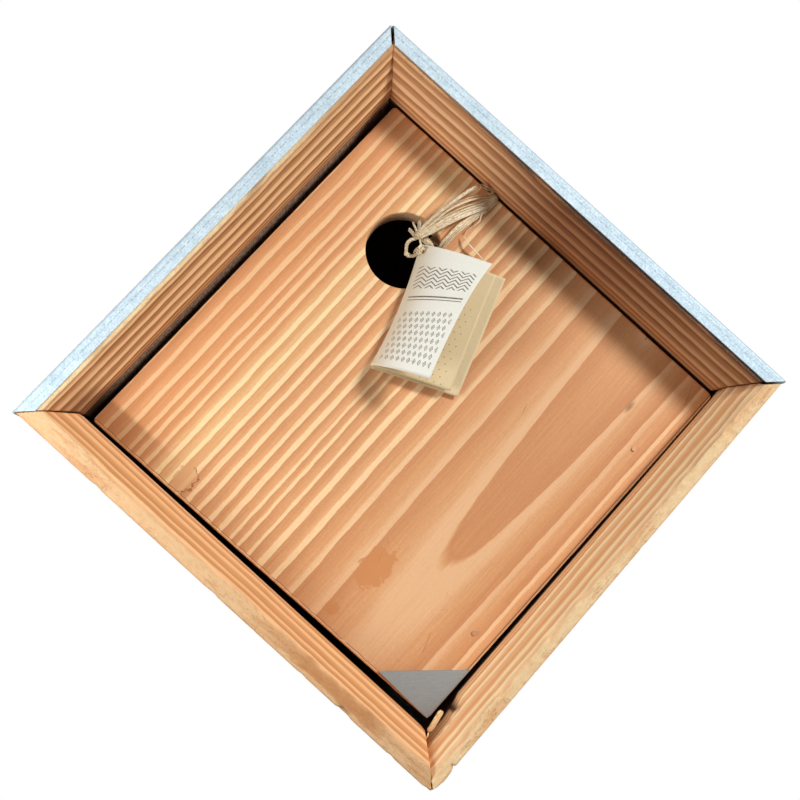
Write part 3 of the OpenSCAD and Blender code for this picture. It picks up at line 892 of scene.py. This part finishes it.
class NestBoxPanel(bpy.types.PropertyGroup):
    """The entrance and the colours of the panel."""
    hole_d: FloatProperty(name="Entrance", description="Diameter of the entrance, mm", default=32.0)
    hole_u: FloatProperty(
        name="Entrance along", description="Its u on the upright square, mm", default=-42.9)
    hole_v: FloatProperty(
        name="Entrance up", description="Its v on the upright square, mm", default=46.7)
    light: FloatVectorProperty(
        name="Early wood", description="Pale part of a close ring", subtype="COLOR", size=4,
        default=shade(252, 214, 164))
    dark: FloatVectorProperty(
        name="Late wood", description="Dark part of a wide ring", subtype="COLOR", size=4,
        default=shade(204, 140, 93))
    wide: FloatVectorProperty(
        name="Wide ring", description="Pale part of the wide rings", subtype="COLOR", size=4,
        default=shade(236, 188, 142))


def corner_line(corners, radius, edge_steps):
    """A closed line through rounded corners, as points [u, v] with the inward way of each."""
    line = []
    inward = []
    places = np.array(corners, float)
    n = len(places)

    def cut(i):
        """The ways from a corner to its neighbours and half the angle between them."""
        a, b = unit(places[i - 1] - places[i]), unit(places[(i + 1) % n] - places[i])
        return a, b, math.acos(float(a @ b)) / 2

    for i in range(n):
        a, b, half = cut(i)
        middle = places[i] + unit(a + b) * radius / math.sin(half)
        start, end = [places[i] + way * radius / math.tan(half) for way in (a, b)]
        for t in np.linspace(0, 1, 9):
            way = unit((start - middle) * (1 - t) + (end - middle) * t)
            line.append(middle + way * radius)
            inward.append(-way)
        after = (i + 1) % n
        stop = places[after] - b * radius / math.tan(cut(after)[2])
        for t in np.linspace(0, 1, edge_steps + 2)[1:-1]:
            line.append(end + (stop - end) * t)
            inward.append(inward[-1])
    return np.array(line), np.array(inward)


def flat_piece(name, node, slot, mat, corners, low, high, ease, radius, hole=None):
    """A flat board or plate with eased arrises, and a round hole through it where one is given."""
    line, inward = corner_line(corners, radius, 44)
    n = len(line)
    torn = soft_noise(np.stack([line[:, 0], line[:, 1], line[:, 1] * 0], 1), 5, 71)
    line = line + inward * (np.clip(torn, 0, 1) * 0.25 * ease)[:, None]
    face = line + inward * ease
    rings = [(face, low), (line + inward * ease * 0.3, low + ease * 0.3), (line, low + ease),
             (line, high - ease), (face, high)]
    if hole is not None:
        centre = np.array(hole[:2], float)
        way = unit(line - centre)
        wall = centre + way * hole[2]
        chamfer = 0.3
        mouth = wall + way * chamfer
        front = [(mouth + (face - mouth) * t, low) for t in (0.0, 0.2, 0.5, 0.8)]
        rings = [(wall, low + chamfer)] + front + rings + [(mouth, high), (wall, high - chamfer)]
    pts = np.vstack([np.stack(upright(q[:, 0], q[:, 1], np.full(n, y)), 1) for q, y in rings])
    if hole is None:
        faces = tube_faces(len(rings), n)
    else:
        faces = strip_faces(len(rings), n, loop_rows=True, loop_cols=True)
    obj = make_piece(name, pts, faces, mat)
    for poly in obj.data.polygons:
        if abs(poly.normal.y) > 0.999:
            poly.use_smooth = False
    stand_in(obj, slot, node)


class NESTBOX_OT_panel(bpy.types.Operator):
    """Finish the front panel, its batten and the back panel"""
    bl_idname = "nestbox.panel"
    bl_label = "Front panel"

    def execute(self, context):
        sizes = context.scene.nestbox_panel
        mat = flame_panel("panel_flame", sizes.light, sizes.dark, sizes.wide)
        entrance = (sizes.hole_u, sizes.hole_v, sizes.hole_d / 2)
        flat_piece("front_panel_board", "front_panel", "panel_wood", mat, PANEL_CORNERS,
                   PANEL_Y, PANEL_BACK_Y, ease=0.6, radius=1.6, hole=entrance)
        plain = sawn_board("batten_pine", "upper_right_board", BATTEN_TONES, ring=2.6)
        repaint("panel_batten", plain, 0.5)
        repaint("back_panel", plain, 0.5)
        return {"FINISHED"}


class NestBoxSheet(bpy.types.PropertyGroup):
    """Colours of the metal pieces."""
    face: FloatVectorProperty(
        name="Zinc", description="Bright colour of the zinc", subtype="COLOR", size=4,
        default=shade(214, 231, 239))
    dull: FloatVectorProperty(
        name="Dull zinc", description="Dull colour of the zinc", subtype="COLOR", size=4,
        default=shade(168, 190, 202))
    plate: FloatVectorProperty(
        name="Plate", description="Colour of the corner plate", subtype="COLOR", size=4,
        default=shade(159, 160, 157))


class NESTBOX_OT_roof(bpy.types.Operator):
    """Finish the folded sheet roof and its tacks"""
    bl_idname = "nestbox.roof"
    bl_label = "Roof sheet"

    def execute(self, context):
        sizes = context.scene.nestbox_sheet
        repaint("roof_sheet", zinc_sheet("zinc_roof", sizes.face, sizes.dull), 0.15)
        repaint("roof_tacks", plain_metal("tack_steel", shade(190, 194, 198)), 0.15)
        return {"FINISHED"}


class NESTBOX_OT_fixings(bpy.types.Operator):
    """Build the corner plate and finish the brads"""
    bl_idname = "nestbox.fixings"
    bl_label = "Plate and brads"

    def execute(self, context):
        sizes = context.scene.nestbox_sheet
        mat = plain_metal("plate_metal", sizes.plate, rough=0.4)
        flat_piece("corner_plate_blank", "corner_plate", "plate_metal", mat, PLATE_CORNERS,
                   PANEL_Y - PLATE_T, PANEL_Y, ease=0.12, radius=0.2)
        brads = plain_metal("brad_steel", shade(206, 152, 110))
        for node in ("panel_brads", "batten_brads", "back_brads"):
            repaint(node, brads, 0.1)
        return {"FINISHED"}


# ---------------------------------------------------------------- tag


class NestBoxTag(bpy.types.PropertyGroup):
    """Sizes and colours of the tag."""
    leaf_t: FloatProperty(name="Card", description="Thickness of the card, mm", default=0.4)
    punch_r: FloatProperty(name="Hole", description="Radius of the punched hole, mm", default=1.2)
    paper: FloatVectorProperty(
        name="Cover card", description="Colour of the cover", subtype="COLOR", size=4,
        default=shade(250, 250, 238))
    inner: FloatVectorProperty(
        name="Inner card", description="Colour of the inner leaves", subtype="COLOR", size=4,
        default=shade(230, 210, 168))
    ink: FloatVectorProperty(
        name="Ink", description="Colour of the print", subtype="COLOR", size=4,
        default=shade(104, 92, 84))


def off_panel(places):
    """Places given as across, off the panel's face and up, as x, y, z."""
    return [(x, PANEL_Y - off, z) for x, off, z in places]


def three_way(t, start, middle, end):
    """A smooth value that passes through three others as t goes from 0 to 1."""
    return start * (1 - t) * (1 - 2 * t) + 4 * middle * t * (1 - t) + end * t * (2 * t - 1)


def build_leaf(name, node, slot, mat, left, right, bulge, sizes):
    """A bent leaf between its left and right edges, each given by three places from the top."""
    rows, cols = 46, 34
    left, right = np.array(off_panel(left)), np.array(off_panel(right))
    pts = []
    uvs = []
    for b in np.linspace(0, 1, rows):
        start, end = three_way(b, *left), three_way(b, *right)
        for a in np.linspace(0, 1, cols):
            q = (1 - a) * start + a * end
            q[1] -= (bulge[0] * (1 - b) + bulge[1] * b) * math.sin(math.pi * a ** 0.75)
            pts.append(q)
            uvs.append((a, b))
    pts = np.array(pts)
    pts[:, 1] += soft_noise(pts * [1, 0, 1], 14, 5) * 0.15
    grid = pts.reshape(rows, cols, 3)
    # the punched hole near the upper left corner: the points round one point form its rim
    hole = ((1, 1), (1, 2), (1, 3), (2, 3), (3, 3), (3, 2), (3, 1), (2, 1))
    centre = grid[2, 2].copy()
    for i, j in hole:
        grid[i, j] = centre + unit(grid[i, j] - centre) * sizes.punch_r
    n = unit(np.cross(np.gradient(grid, axis=1), np.gradient(grid, axis=0)))
    n *= np.where(n[..., 1:2] > 0, 1, -1)
    # the face, the same turned over behind it, and the rims round both and round the hole
    middle = 2 * cols + 2
    behind = rows * cols
    faces = [q[::-1] for q in strip_faces(rows, cols) if middle not in q]
    under = [tuple(k + behind for k in q[::-1]) for q in faces]
    top = list(range(cols))
    far = [i * cols + cols - 1 for i in range(rows)]
    foot = [(rows - 1) * cols + i for i in top][::-1]
    spine = [i * cols for i in range(rows)][::-1]
    ring = top[:-1] + far[:-1] + foot[:-1] + spine[:-1]
    rim = [(p, q, q + behind, p + behind) for p, q in zip(ring, ring[1:] + ring[:1])]
    punched = [i * cols + j for i, j in hole]
    rim += [(q, p, p + behind, q + behind) for p, q in zip(punched, punched[1:] + punched[:1])]
    # the point in the middle of the hole is left out
    kept = np.arange(2 * behind) % behind != middle
    place = np.cumsum(kept) - 1
    every = np.vstack([grid.reshape(-1, 3), (grid + n * sizes.leaf_t).reshape(-1, 3)])[kept]
    faces = [tuple(int(place[k]) for k in q) for q in faces + under + rim]
    obj = make_piece(name, every, faces, mat, uvs=np.array(uvs + uvs)[kept])
    stand_in(obj, slot, node)


class NESTBOX_OT_tag(bpy.types.Operator):
    """Build the folded tag"""
    bl_idname = "nestbox.tag"
    bl_label = "Tag"

    def execute(self, context):
        sizes = context.scene.nestbox_tag
        cover = card("card_cover", sizes.paper, sizes.ink, True)
        inner = card("card_inner", sizes.inner, sizes.ink, False)
        # each leaf's left and right edge, and how far it bulges at its top and foot
        build_leaf("tag_cover_leaf", "tag_cover", "card", cover,
                   ((9.2, 2.2, 65.2), (-1.2, 2.4, 38.5), (-13.8, 2.4, 15.9)),
                   ((35.6, 19.0, 52.4), (22.3, 20.0, 34.0), (7.8, 20.0, 6.8)), (3.0, 5.0), sizes)
        build_leaf("tag_middle_leaf", "tag_leaf", "card_inner", inner,
                   ((9.3, 1.5, 65.0), (-1.2, 1.6, 38.4), (-13.6, 1.6, 15.4)),
                   ((39.6, 5.5, 50.4), (28.6, 6.0, 27.6), (18.0, 5.0, 3.6)), (1.2, 1.8), sizes)
        build_leaf("tag_last_leaf", "tag_back_leaf", "card_inner", inner,
                   ((9.6, 0.6, 64.8), (-1.0, 0.6, 38.2), (-13.4, 0.6, 14.7)),
                   ((43.9, 2.6, 49.6), (32.2, 2.6, 24.6), (21.2, 2.0, 1.4)), (0.5, 0.8), sizes)
        return {"FINISHED"}


# ---------------------------------------------------------------- raffia


class NestBoxRaffia(bpy.types.PropertyGroup):
    """Sizes and colours of the raffia."""
    ribbon_w: FloatProperty(name="Ribbon", description="Width of a strand, mm", default=1.45)
    ribbon_t: FloatProperty(
        name="Strand thickness", description="Thickness of a strand, mm", default=0.3)
    light: FloatVectorProperty(
        name="Light fibre", description="Pale raffia", subtype="COLOR", size=4,
        default=shade(255, 246, 218))
    dark: FloatVectorProperty(
        name="Dark fibre", description="Darker raffia", subtype="COLOR", size=4,
        default=shade(196, 158, 104))


def ribbon(knots, width, thick, twist, seed, first_side=None):
    """Points, faces and lay of one flat strand that twists along its way."""
    run = sum(math.dist(a, b) for a, b in zip(knots[:-1], knots[1:]))
    step = 0.5
    count = max(10, int(run / step))
    line = smooth_line(knots, count)
    tangent = unit(np.gradient(line, axis=0))
    if first_side is None:
        first_side = np.cross(tangent[0], (0.0, -1.0, 0.0))
    side = np.array(first_side, float)
    if np.linalg.norm(side) < 0.05:
        side = np.array([1.0, 0.0, 0.0])
    sides = 12
    pts = []
    uvs = []
    angle = np.linspace(0, 2 * math.pi, sides, endpoint=False)
    for i in range(count):
        t = tangent[i]
        side = unit(side - t * float(side @ t))
        up = np.cross(side, t)
        share = i / (count - 1)
        turn = twist[0] + (twist[1] - twist[0]) * share
        turn += 0.3 * float(soft_noise(np.array([[i * step, 0, 0]]), 6, seed)[0])
        w = width * (1 + 0.2 * float(soft_noise(np.array([[i * step, 3, 0]]), 4, seed)[0])) / 2
        # both ends are narrower
        w *= min(1.0, 0.55 + 0.45 * min(share, 1 - share) * 12)
        ca, sa = math.cos(turn), math.sin(turn)
        for k in range(sides):
            px = w * math.cos(angle[k])
            fold = 0.16 * w * math.cos(3 * angle[k] + seed)
            py = thick / 2 * math.sin(angle[k]) + fold * 0.5 + 0.3 * w * (px * px / (w * w) - 0.5)
            pts.append(line[i] + side * (px * ca - py * sa) + up * (px * sa + py * ca))
            uvs.append((i * step + seed * 3.7, k / sides + seed))
    return pts, tube_faces(count, sides), uvs


def beside(line, amounts):
    """The line moved across the panel by three amounts: at its start, middle and end."""
    k = np.array(line, float)
    run = unit(np.gradient(k[:, [0, 2]], axis=0))
    move = three_way(np.linspace(0, 1, len(k)), *amounts)
    k[:, 0] -= run[:, 1] * move
    k[:, 2] += run[:, 0] * move
    return [tuple(q) for q in k]


def twisted(line, radius, turns, phase):
    """A strand that winds round the line."""
    path = smooth_line(line, 70)
    t = unit(np.gradient(path, axis=0))
    side = np.array([1.0, 0.0, 0.0])
    out = []
    for i, spot in enumerate(path):
        side = unit(side - t[i] * float(side @ t[i]))
        a = phase + 2 * math.pi * turns * i / (len(path) - 1)
        out.append(tuple(spot + radius * (side * math.cos(a) + np.cross(t[i], side) * math.sin(a))))
    return out


def coil(centre, axis, radius, turns, length, phase):
    """Points of a short winding round an axis."""
    axis = unit(np.array(axis, float))
    side = unit(np.cross(axis, (0.0, 1.0, 0.3)))
    other = np.cross(axis, side)
    steps = 7
    out = []
    for k in range(int(turns * steps) + 1):
        a = phase + k * 2 * math.pi / steps
        along = axis * length * (k / (turns * steps) - 0.5)
        out.append(tuple(np.array(centre) + along + radius * (side * math.cos(a) + other * math.sin(a))))
    return out


def strand_piece(name, strands, mat, nodes, slot="raffia"):
    """Joins strands into one piece."""
    pts, faces, uvs = [], [], []
    for args in strands:
        p, q, w = ribbon(*args)
        base = len(pts)
        pts += p
        faces += [tuple(k + base for k in face) for face in q]
        uvs += w
    obj = make_piece(name, np.array(pts), faces, mat, uvs=uvs)
    stand_in(obj, slot, *nodes)


# the ways that the strands take over the panel's front, as places across, off the panel and up
HIGH_WAY = ((41.5, 0.8, 87.4), (39.0, 1.8, 88.4), (36.3, 3.2, 89.1), (33.6, 4.4, 88.0),
            (30.0, 5.2, 85.9), (21.8, 5.2, 80.5), (14.3, 4.2, 75.1), (8.3, 2.6, 70.0))
SECOND_WAY = ((42.0, 0.8, 85.6), (38.2, 2.0, 85.2), (34.5, 3.2, 84.5), (27.1, 4.7, 81.9),
              (20.0, 4.8, 78.3), (12.2, 3.5, 72.5), (8.0, 2.6, 69.6))
MAIN_WAY = ((42.3, 0.7, 84.6), (38.5, 1.6, 82.5), (34.5, 2.4, 80.8), (26.0, 3.5, 77.4),
            (17.3, 3.4, 73.2), (10.2, 2.8, 69.6), (7.2, 2.6, 68.0))
LOW_WAY = ((42.4, 0.6, 83.2), (38.5, 1.0, 80.0), (34.5, 1.7, 77.5), (26.8, 2.1, 72.2),
           (20.5, 1.1, 66.7), (18.2, 0.2, 64.0), (17.4, -4.0, 63.0))
ARC_WAY = ((42.0, 0.6, 82.0), (38.4, 1.0, 79.4), (35.6, 1.8, 78.1), (35.2, 2.2, 76.4),
           (34.3, 2.4, 74.0), (32.2, 2.2, 72.4), (29.7, 1.4, 71.0), (28.2, 0.7, 69.5))
# each front strand: where it leaves the gap, its way, how far it runs beside it, its width, its twist
FRONT_STRANDS = (
    (-32.6, HIGH_WAY, (0, 0, 0), 1.0, (0.1, 0.9)),
    (-31.4, HIGH_WAY, (0.8, 1.0, 0.3), 0.45, (0.3, -0.6)),
    (-30.6, SECOND_WAY, (0, 0, 0), 1.25, (0.0, -0.6)),
    (-30.4, SECOND_WAY, (0.2, 1.0, 0.5), 0.8, (-0.2, 0.7)),
    (-30.0, MAIN_WAY, (-0.6, -1.6, -0.4), 1.2, (0.1, -0.5)),
    (-29.7, MAIN_WAY, (-0.3, -0.6, -0.1), 1.3, (-0.2, 0.5)),
    (-29.4, MAIN_WAY, (0.0, 0.4, 0.2), 1.2, (0.2, -0.3)),
    (-29.1, MAIN_WAY, (0.3, 1.4, 0.5), 1.25, (-0.1, 0.6)),
    (-28.8, MAIN_WAY, (0.6, 2.3, 1.0), 0.8, (0.4, -0.4)),
    (-28.6, LOW_WAY, (-0.2, -0.9, -0.4), 1.05, (0.0, 0.6)),
    (-28.4, LOW_WAY, (0, 0, 0), 1.1, (0.2, -0.5)),
    (-28.1, LOW_WAY, (0.2, 1.0, 0.5), 0.7, (-0.3, 0.4)),
)
# the tag's loop: three strands twisted round its cord, and a fourth across it
LOOP_CORD = ((9.2, 2.4, 68.2), (7.0, 2.8, 67.4), (5.0, 2.8, 66.8), (3.8, 2.8, 65.3), (3.3, 2.8, 63.6),
             (3.2, 2.8, 61.9), (3.7, 3.1, 60.5), (5.2, 3.6, 60.0), (6.9, 4.6, 60.3), (8.3, 5.6, 61.2),
             (9.5, 5.8, 62.1), (10.3, 4.4, 62.4), (10.5, 2.4, 62.4), (10.5, 0.9, 62.4))
LOOP_CROSSING = ((9.3, 2.6, 67.7), (9.1, 3.4, 66.1), (9.2, 4.6, 64.6), (8.5, 5.6, 63.3), (7.1, 5.6, 62.3),
                 (6.3, 5.0, 61.4), (6.7, 4.6, 60.4))
# each winding of the knot: its middle, axis, radius, turns, length and phase; width, thickness, twist
KNOT_WINDINGS = (
    ((8.8, 2.9, 69.0), (1.0, 0.0, 0.55), 1.5, 2.2, 1.6, 0.4, 0.8, 1.5, (0.0, 0.8)),
    ((8.6, 2.9, 68.4), (0.3, 0.2, 1.0), 1.3, 1.4, 0.8, 1.6, 0.7, 1.5, (0.3, 1.2)),
    ((3.4, 3.0, 61.1), (0.2, 0.1, 1.0), 0.85, 2.3, 1.2, 0.0, 0.6, 1.6, (0.0, 0.7)),
    ((4.2, 3.2, 60.4), (1.0, 0.2, -0.2), 0.8, 1.3, 0.8, 1.0, 0.6, 1.6, (0.2, 0.9)),
    ((8.2, 5.4, 61.6), (0.9, -0.2, 0.5), 1.25, 2.4, 1.8, 0.6, 0.8, 1.6, (0.0, 0.9)),
    ((8.0, 5.6, 61.9), (0.2, -0.3, 1.0), 1.2, 1.6, 0.9, 2.2, 0.75, 1.6, (0.4, 1.3)),
    ((9.4, 5.8, 62.2), (0.8, 0.3, -0.6), 0.9, 1.3, 0.6, 0.0, 0.6, 1.6, (0.0, 0.6)),
)
# each cut tail: its foot and its tip, across and up, and its width
TAILS = (((8.1, 69.5), (6.4, 74.3), 0.6), ((9.0, 69.7), (9.3, 74.8), 1.15), ((7.0, 69.1), (4.7, 71.6), 0.6),
         ((10.0, 69.6), (11.9, 73.1), 0.5), ((6.5, 68.8), (4.4, 70.7), 0.5))
LOOSE_END = ((27.6, 1.9, 68.3), (29.2, 2.8, 64.9), (31.1, 2.8, 62.4), (33.2, 2.2, 60.2), (35.6, 1.0, 57.6),
             (36.6, 0.6, 56.6))
BACK_STRANDS = 5
ALONG_GAP = (1 / ROOT2, 0.0, -1 / ROOT2)
GAP_V = PANEL_TOP + 1.3


def from_gap(u, way, amounts=(0, 0, 0)):
    """A line that starts down in the gap along the panel's edge and rises off its face."""
    knots = off_panel([(x, off * (1.0 + 0.14 * off), z) for x, off, z in way])
    return [upright(u, GAP_V, PANEL_Y + 8.0), upright(u, GAP_V, PANEL_Y + 1.0)] + beside(knots, amounts)


def behind_panel(i):
    """The way of one strand down the gap, behind the panel and out of the entrance."""
    back_y = PANEL_BACK_Y + 0.6
    return [upright(-33 + i * 1.1, GAP_V, PANEL_Y + 5.0),
            upright(-33 + i * 1.1, GAP_V, back_y),
            upright(-36.5 + i * 0.9, GAP_V - 14, back_y + 0.6),
            upright(-39.0 + i * 0.6, GAP_V - 28, back_y + 0.2),
            upright(-41.2 + i * 0.5, GAP_V - 31.5, back_y - 3.0),
            (13.6 + i * 0.8, PANEL_Y + 5.0, 69.6 - i * 1.1),
            (10.4 + i * 0.4, PANEL_Y - 0.8, 68.0 - i * 0.3)]


class NESTBOX_OT_raffia(bpy.types.Operator):
    """Build the raffia strands, their knot and loop"""
    bl_idname = "nestbox.raffia"
    bl_label = "Raffia"

    def execute(self, context):
        sizes = context.scene.nestbox_raffia
        mat = dry_fibre("raffia_fibre", sizes.light, sizes.dark)
        w, t = sizes.ribbon_w, sizes.ribbon_t
        front = [(from_gap(u, way, amounts), w * wide, t, twist, 1 + i, ALONG_GAP)
                 for i, (u, way, amounts, wide, twist) in enumerate(FRONT_STRANDS)]
        strand_piece("raffia_front_strands", front, mat, ["raffia_front_run"])
        arc = (from_gap(-27.8, ARC_WAY), w * 0.42, t, (0.0, 1.2), 13, ALONG_GAP)
        strand_piece("raffia_arc", [arc], mat, ["raffia_arc_strand"])
        back = [(behind_panel(i), w * 0.9, t, (0.2 * i, 0.5 - 0.2 * i), 14 + i)
                for i in range(BACK_STRANDS)]
        strand_piece("raffia_back_strands", back, mat, ["raffia_back_run"])
        cord = off_panel(LOOP_CORD)
        loop = []
        for i in range(3):
            line = twisted(cord, radius=0.42, turns=6.0, phase=i * 2.1)
            loop.append((line, w * 0.62, t * 1.5, (0.0, 2.0), 21 + i))
        loop.append((off_panel(LOOP_CROSSING), w * 0.7, t * 1.5, (0.0, 1.4), 24))
        strand_piece("tag_raffia_loop", loop, mat, ["tag_loop"])
        knot = []
        for i, (middle, *winding, wide, thick, twist) in enumerate(KNOT_WINDINGS):
            knot.append((coil(off_panel([middle])[0], *winding), w * wide, t * thick, twist, 30 + i))
        strand_piece("raffia_knot", knot, mat, ["tie_knot"])
        tails = []
        for i, (foot, tip, wide) in enumerate(TAILS):
            middle = (foot[0] * 0.6 + tip[0] * 0.4, 3.4, (foot[1] + tip[1]) / 2)
            line = off_panel([(foot[0] + 0.3, 2.6, foot[1] - 0.4), middle, (tip[0], 4.2, tip[1])])
            tails.append((line, w * wide, t, (0.2, 0.8), 40 + i))
        strand_piece("raffia_cut_tails", tails, mat, ["raffia_tails"])
        loose = (off_panel(LOOSE_END), w * 0.5, t, (0.0, 0.9), 50)
        strand_piece("raffia_loose_end", [loose], mat, ["raffia_loose_strand"])
        return {"FINISHED"}


# ---------------------------------------------------------------- stage


class NestBoxStudio(bpy.types.PropertyGroup):
    """Lamps and camera of the studio."""
    key: FloatProperty(name="Key lamp", description="Power of the key lamp", default=15.3, unit="POWER")
    near: FloatProperty(
        name="Near lamp", description="Power of the small lamp close on the left", default=0.43,
        unit="POWER")
    side: FloatProperty(
        name="Side lamp", description="Power of the second lamp on the left", default=0.24, unit="POWER")
    high: FloatProperty(
        name="High lamp", description="Power of the grazing lamp at the upper left", default=1.6,
        unit="POWER")
    rear: FloatProperty(
        name="Rear lamp", description="Power of the lamp behind the box", default=9.0, unit="POWER")
    sky: FloatProperty(name="Sky", description="Strength of the even light", default=0.03)
    lens: FloatProperty(name="Lens", description="Focal length, mm", default=54.0)


# size and place of each lamp, in metres
LAMPS = {
    "key": (0.25, (0.863, -0.999, 0.449)),
    "near": (0.12, (-0.27, -0.3, -0.05)),
    "side": (0.1, (-0.36, -0.3, -0.04)),
    "high": (0.4, (-0.88, -0.49, 0.88)),
    "rear": (0.5, (-0.7, 1.1, 0.5)),
}
# the eye in millimetres, and how far it is turned from a level view, in degrees about its own axes
EYE = (-50.0, FRONT_Y - 459.2, -52.6)
LEAN = (-6.48, -5.49, -2.59)
SENSOR_WIDTH = 36.0
FLOOR_HALF = 1400
FLOOR_Z = -900


class NESTBOX_OT_stage(bpy.types.Operator):
    """Set the camera, the lamps and the floor"""
    bl_idname = "nestbox.stage"
    bl_label = "Stage"

    def camera(self, scene, lens):
        level = Matrix(((1, 0, 0), (0, 0, -1), (0, 1, 0)))
        axis = Vector([math.radians(a) for a in LEAN])
        rows = Matrix.Rotation(axis.length, 3, axis.normalized()) @ level
        basis = Matrix((rows[0], -rows[1], -rows[2])).transposed()
        data = bpy.data.cameras.new("studio_camera")
        data.lens = lens
        data.sensor_width = SENSOR_WIDTH
        data.clip_start = 0.01
        cam = bpy.data.objects.new("studio_camera", data)
        cam.matrix_world = Matrix.Translation(Vector(EYE) * MM) @ basis.to_4x4()
        scene.collection.objects.link(cam)
        scene.camera = cam

    def lamp(self, scene, name, power, size, place):
        """A square lamp aimed at the middle of the panel."""
        data = bpy.data.lights.new(name, "AREA")
        data.energy = power
        data.size = size
        obj = bpy.data.objects.new(name, data)
        obj.location = place
        way = Vector(place) - Vector((0, PANEL_Y * MM, 0))
        obj.rotation_euler = way.to_track_quat("Z", "Y").to_euler()
        scene.collection.objects.link(obj)

    def world(self, scene, sky):
        """A faint even light, which the camera and mirrors see as white."""
        world = bpy.data.worlds.new("studio_world")
        world.use_nodes = True
        nodes, links = world.node_tree.nodes, world.node_tree.links
        nodes.clear()
        mixer = nodes.new("ShaderNodeMixShader")
        for i, strength in enumerate((sky, 1.0)):
            light = nodes.new("ShaderNodeBackground")
            light.inputs["Color"].default_value = (1, 1, 1, 1)
            light.inputs["Strength"].default_value = strength
            links.new(light.outputs[0], mixer.inputs[1 + i])
        rays = nodes.new("ShaderNodeLightPath")
        seen = rays.outputs["Is Camera Ray"]
        for ray in ("Is Glossy Ray", "Is Transmission Ray"):
            either = nodes.new("ShaderNodeMath")
            either.operation = "MAXIMUM"
            links.new(seen, either.inputs[0])
            links.new(rays.outputs[ray], either.inputs[1])
            seen = either.outputs[0]
        links.new(seen, mixer.inputs[0])
        out = nodes.new("ShaderNodeOutputWorld")
        links.new(mixer.outputs[0], out.inputs[0])
        scene.world = world

    def execute(self, context):
        sizes = context.scene.nestbox_studio
        scene = context.scene
        self.camera(scene, sizes.lens)
        for name, (size, place) in LAMPS.items():
            self.lamp(scene, name + "_lamp", getattr(sizes, name), size, place)
        self.world(scene, sizes.sky)
        scene.view_settings.view_transform = "Standard"
        pale = Finish("floor_pale")
        pale.set(base_color=(0.85, 0.85, 0.85, 1), roughness=0.8)
        corners = [(x * FLOOR_HALF, y * FLOOR_HALF, FLOOR_Z)
                   for x, y in ((-1, -1), (1, -1), (1, 1), (-1, 1))]
        floor = make_piece("floor", corners, [(0, 1, 2, 3)], pale.mat, smooth=False)
        return {"FINISHED"}


class NESTBOX_PT_tools(bpy.types.Panel):
    """Buttons that build the nest box"""
    bl_idname = "NESTBOX_PT_tools"
    bl_label = "Nest Box"
    bl_space_type = "VIEW_3D"
    bl_region_type = "UI"
    bl_category = "Nest Box"

    def draw(self, context):
        for name in STEPS:
            self.layout.operator("nestbox." + name)
        for group in GROUPS:
            holder = getattr(context.scene, group)
            for key in holder.__annotations__:
                self.layout.prop(holder, key)


STEPS = ("stage", "boards", "panel", "roof", "fixings", "tag", "raffia")
GROUPS = {
    "nestbox_boards": NestBoxBoards,
    "nestbox_panel": NestBoxPanel,
    "nestbox_sheet": NestBoxSheet,
    "nestbox_tag": NestBoxTag,
    "nestbox_raffia": NestBoxRaffia,
    "nestbox_studio": NestBoxStudio,
}
CLASSES = tuple(GROUPS.values()) + (
    NESTBOX_OT_stage, NESTBOX_OT_boards, NESTBOX_OT_panel, NESTBOX_OT_roof, NESTBOX_OT_fixings,
    NESTBOX_OT_tag, NESTBOX_OT_raffia, NESTBOX_PT_tools,
)


def register():
    for item in CLASSES:
        bpy.utils.register_class(item)
    for name, group in GROUPS.items():
        setattr(bpy.types.Scene, name, PointerProperty(type=group))


def unregister():
    for name in GROUPS:
        delattr(bpy.types.Scene, name)
    for item in reversed(CLASSES):
        bpy.utils.unregister_class(item)


def main():
    register()
    for name in STEPS:
        if getattr(bpy.ops.nestbox, name)() != {"FINISHED"}:
            raise RuntimeError(name + " did not finish")
    bpy.context.view_layer.update()


if __name__ == "__main__":
    main()
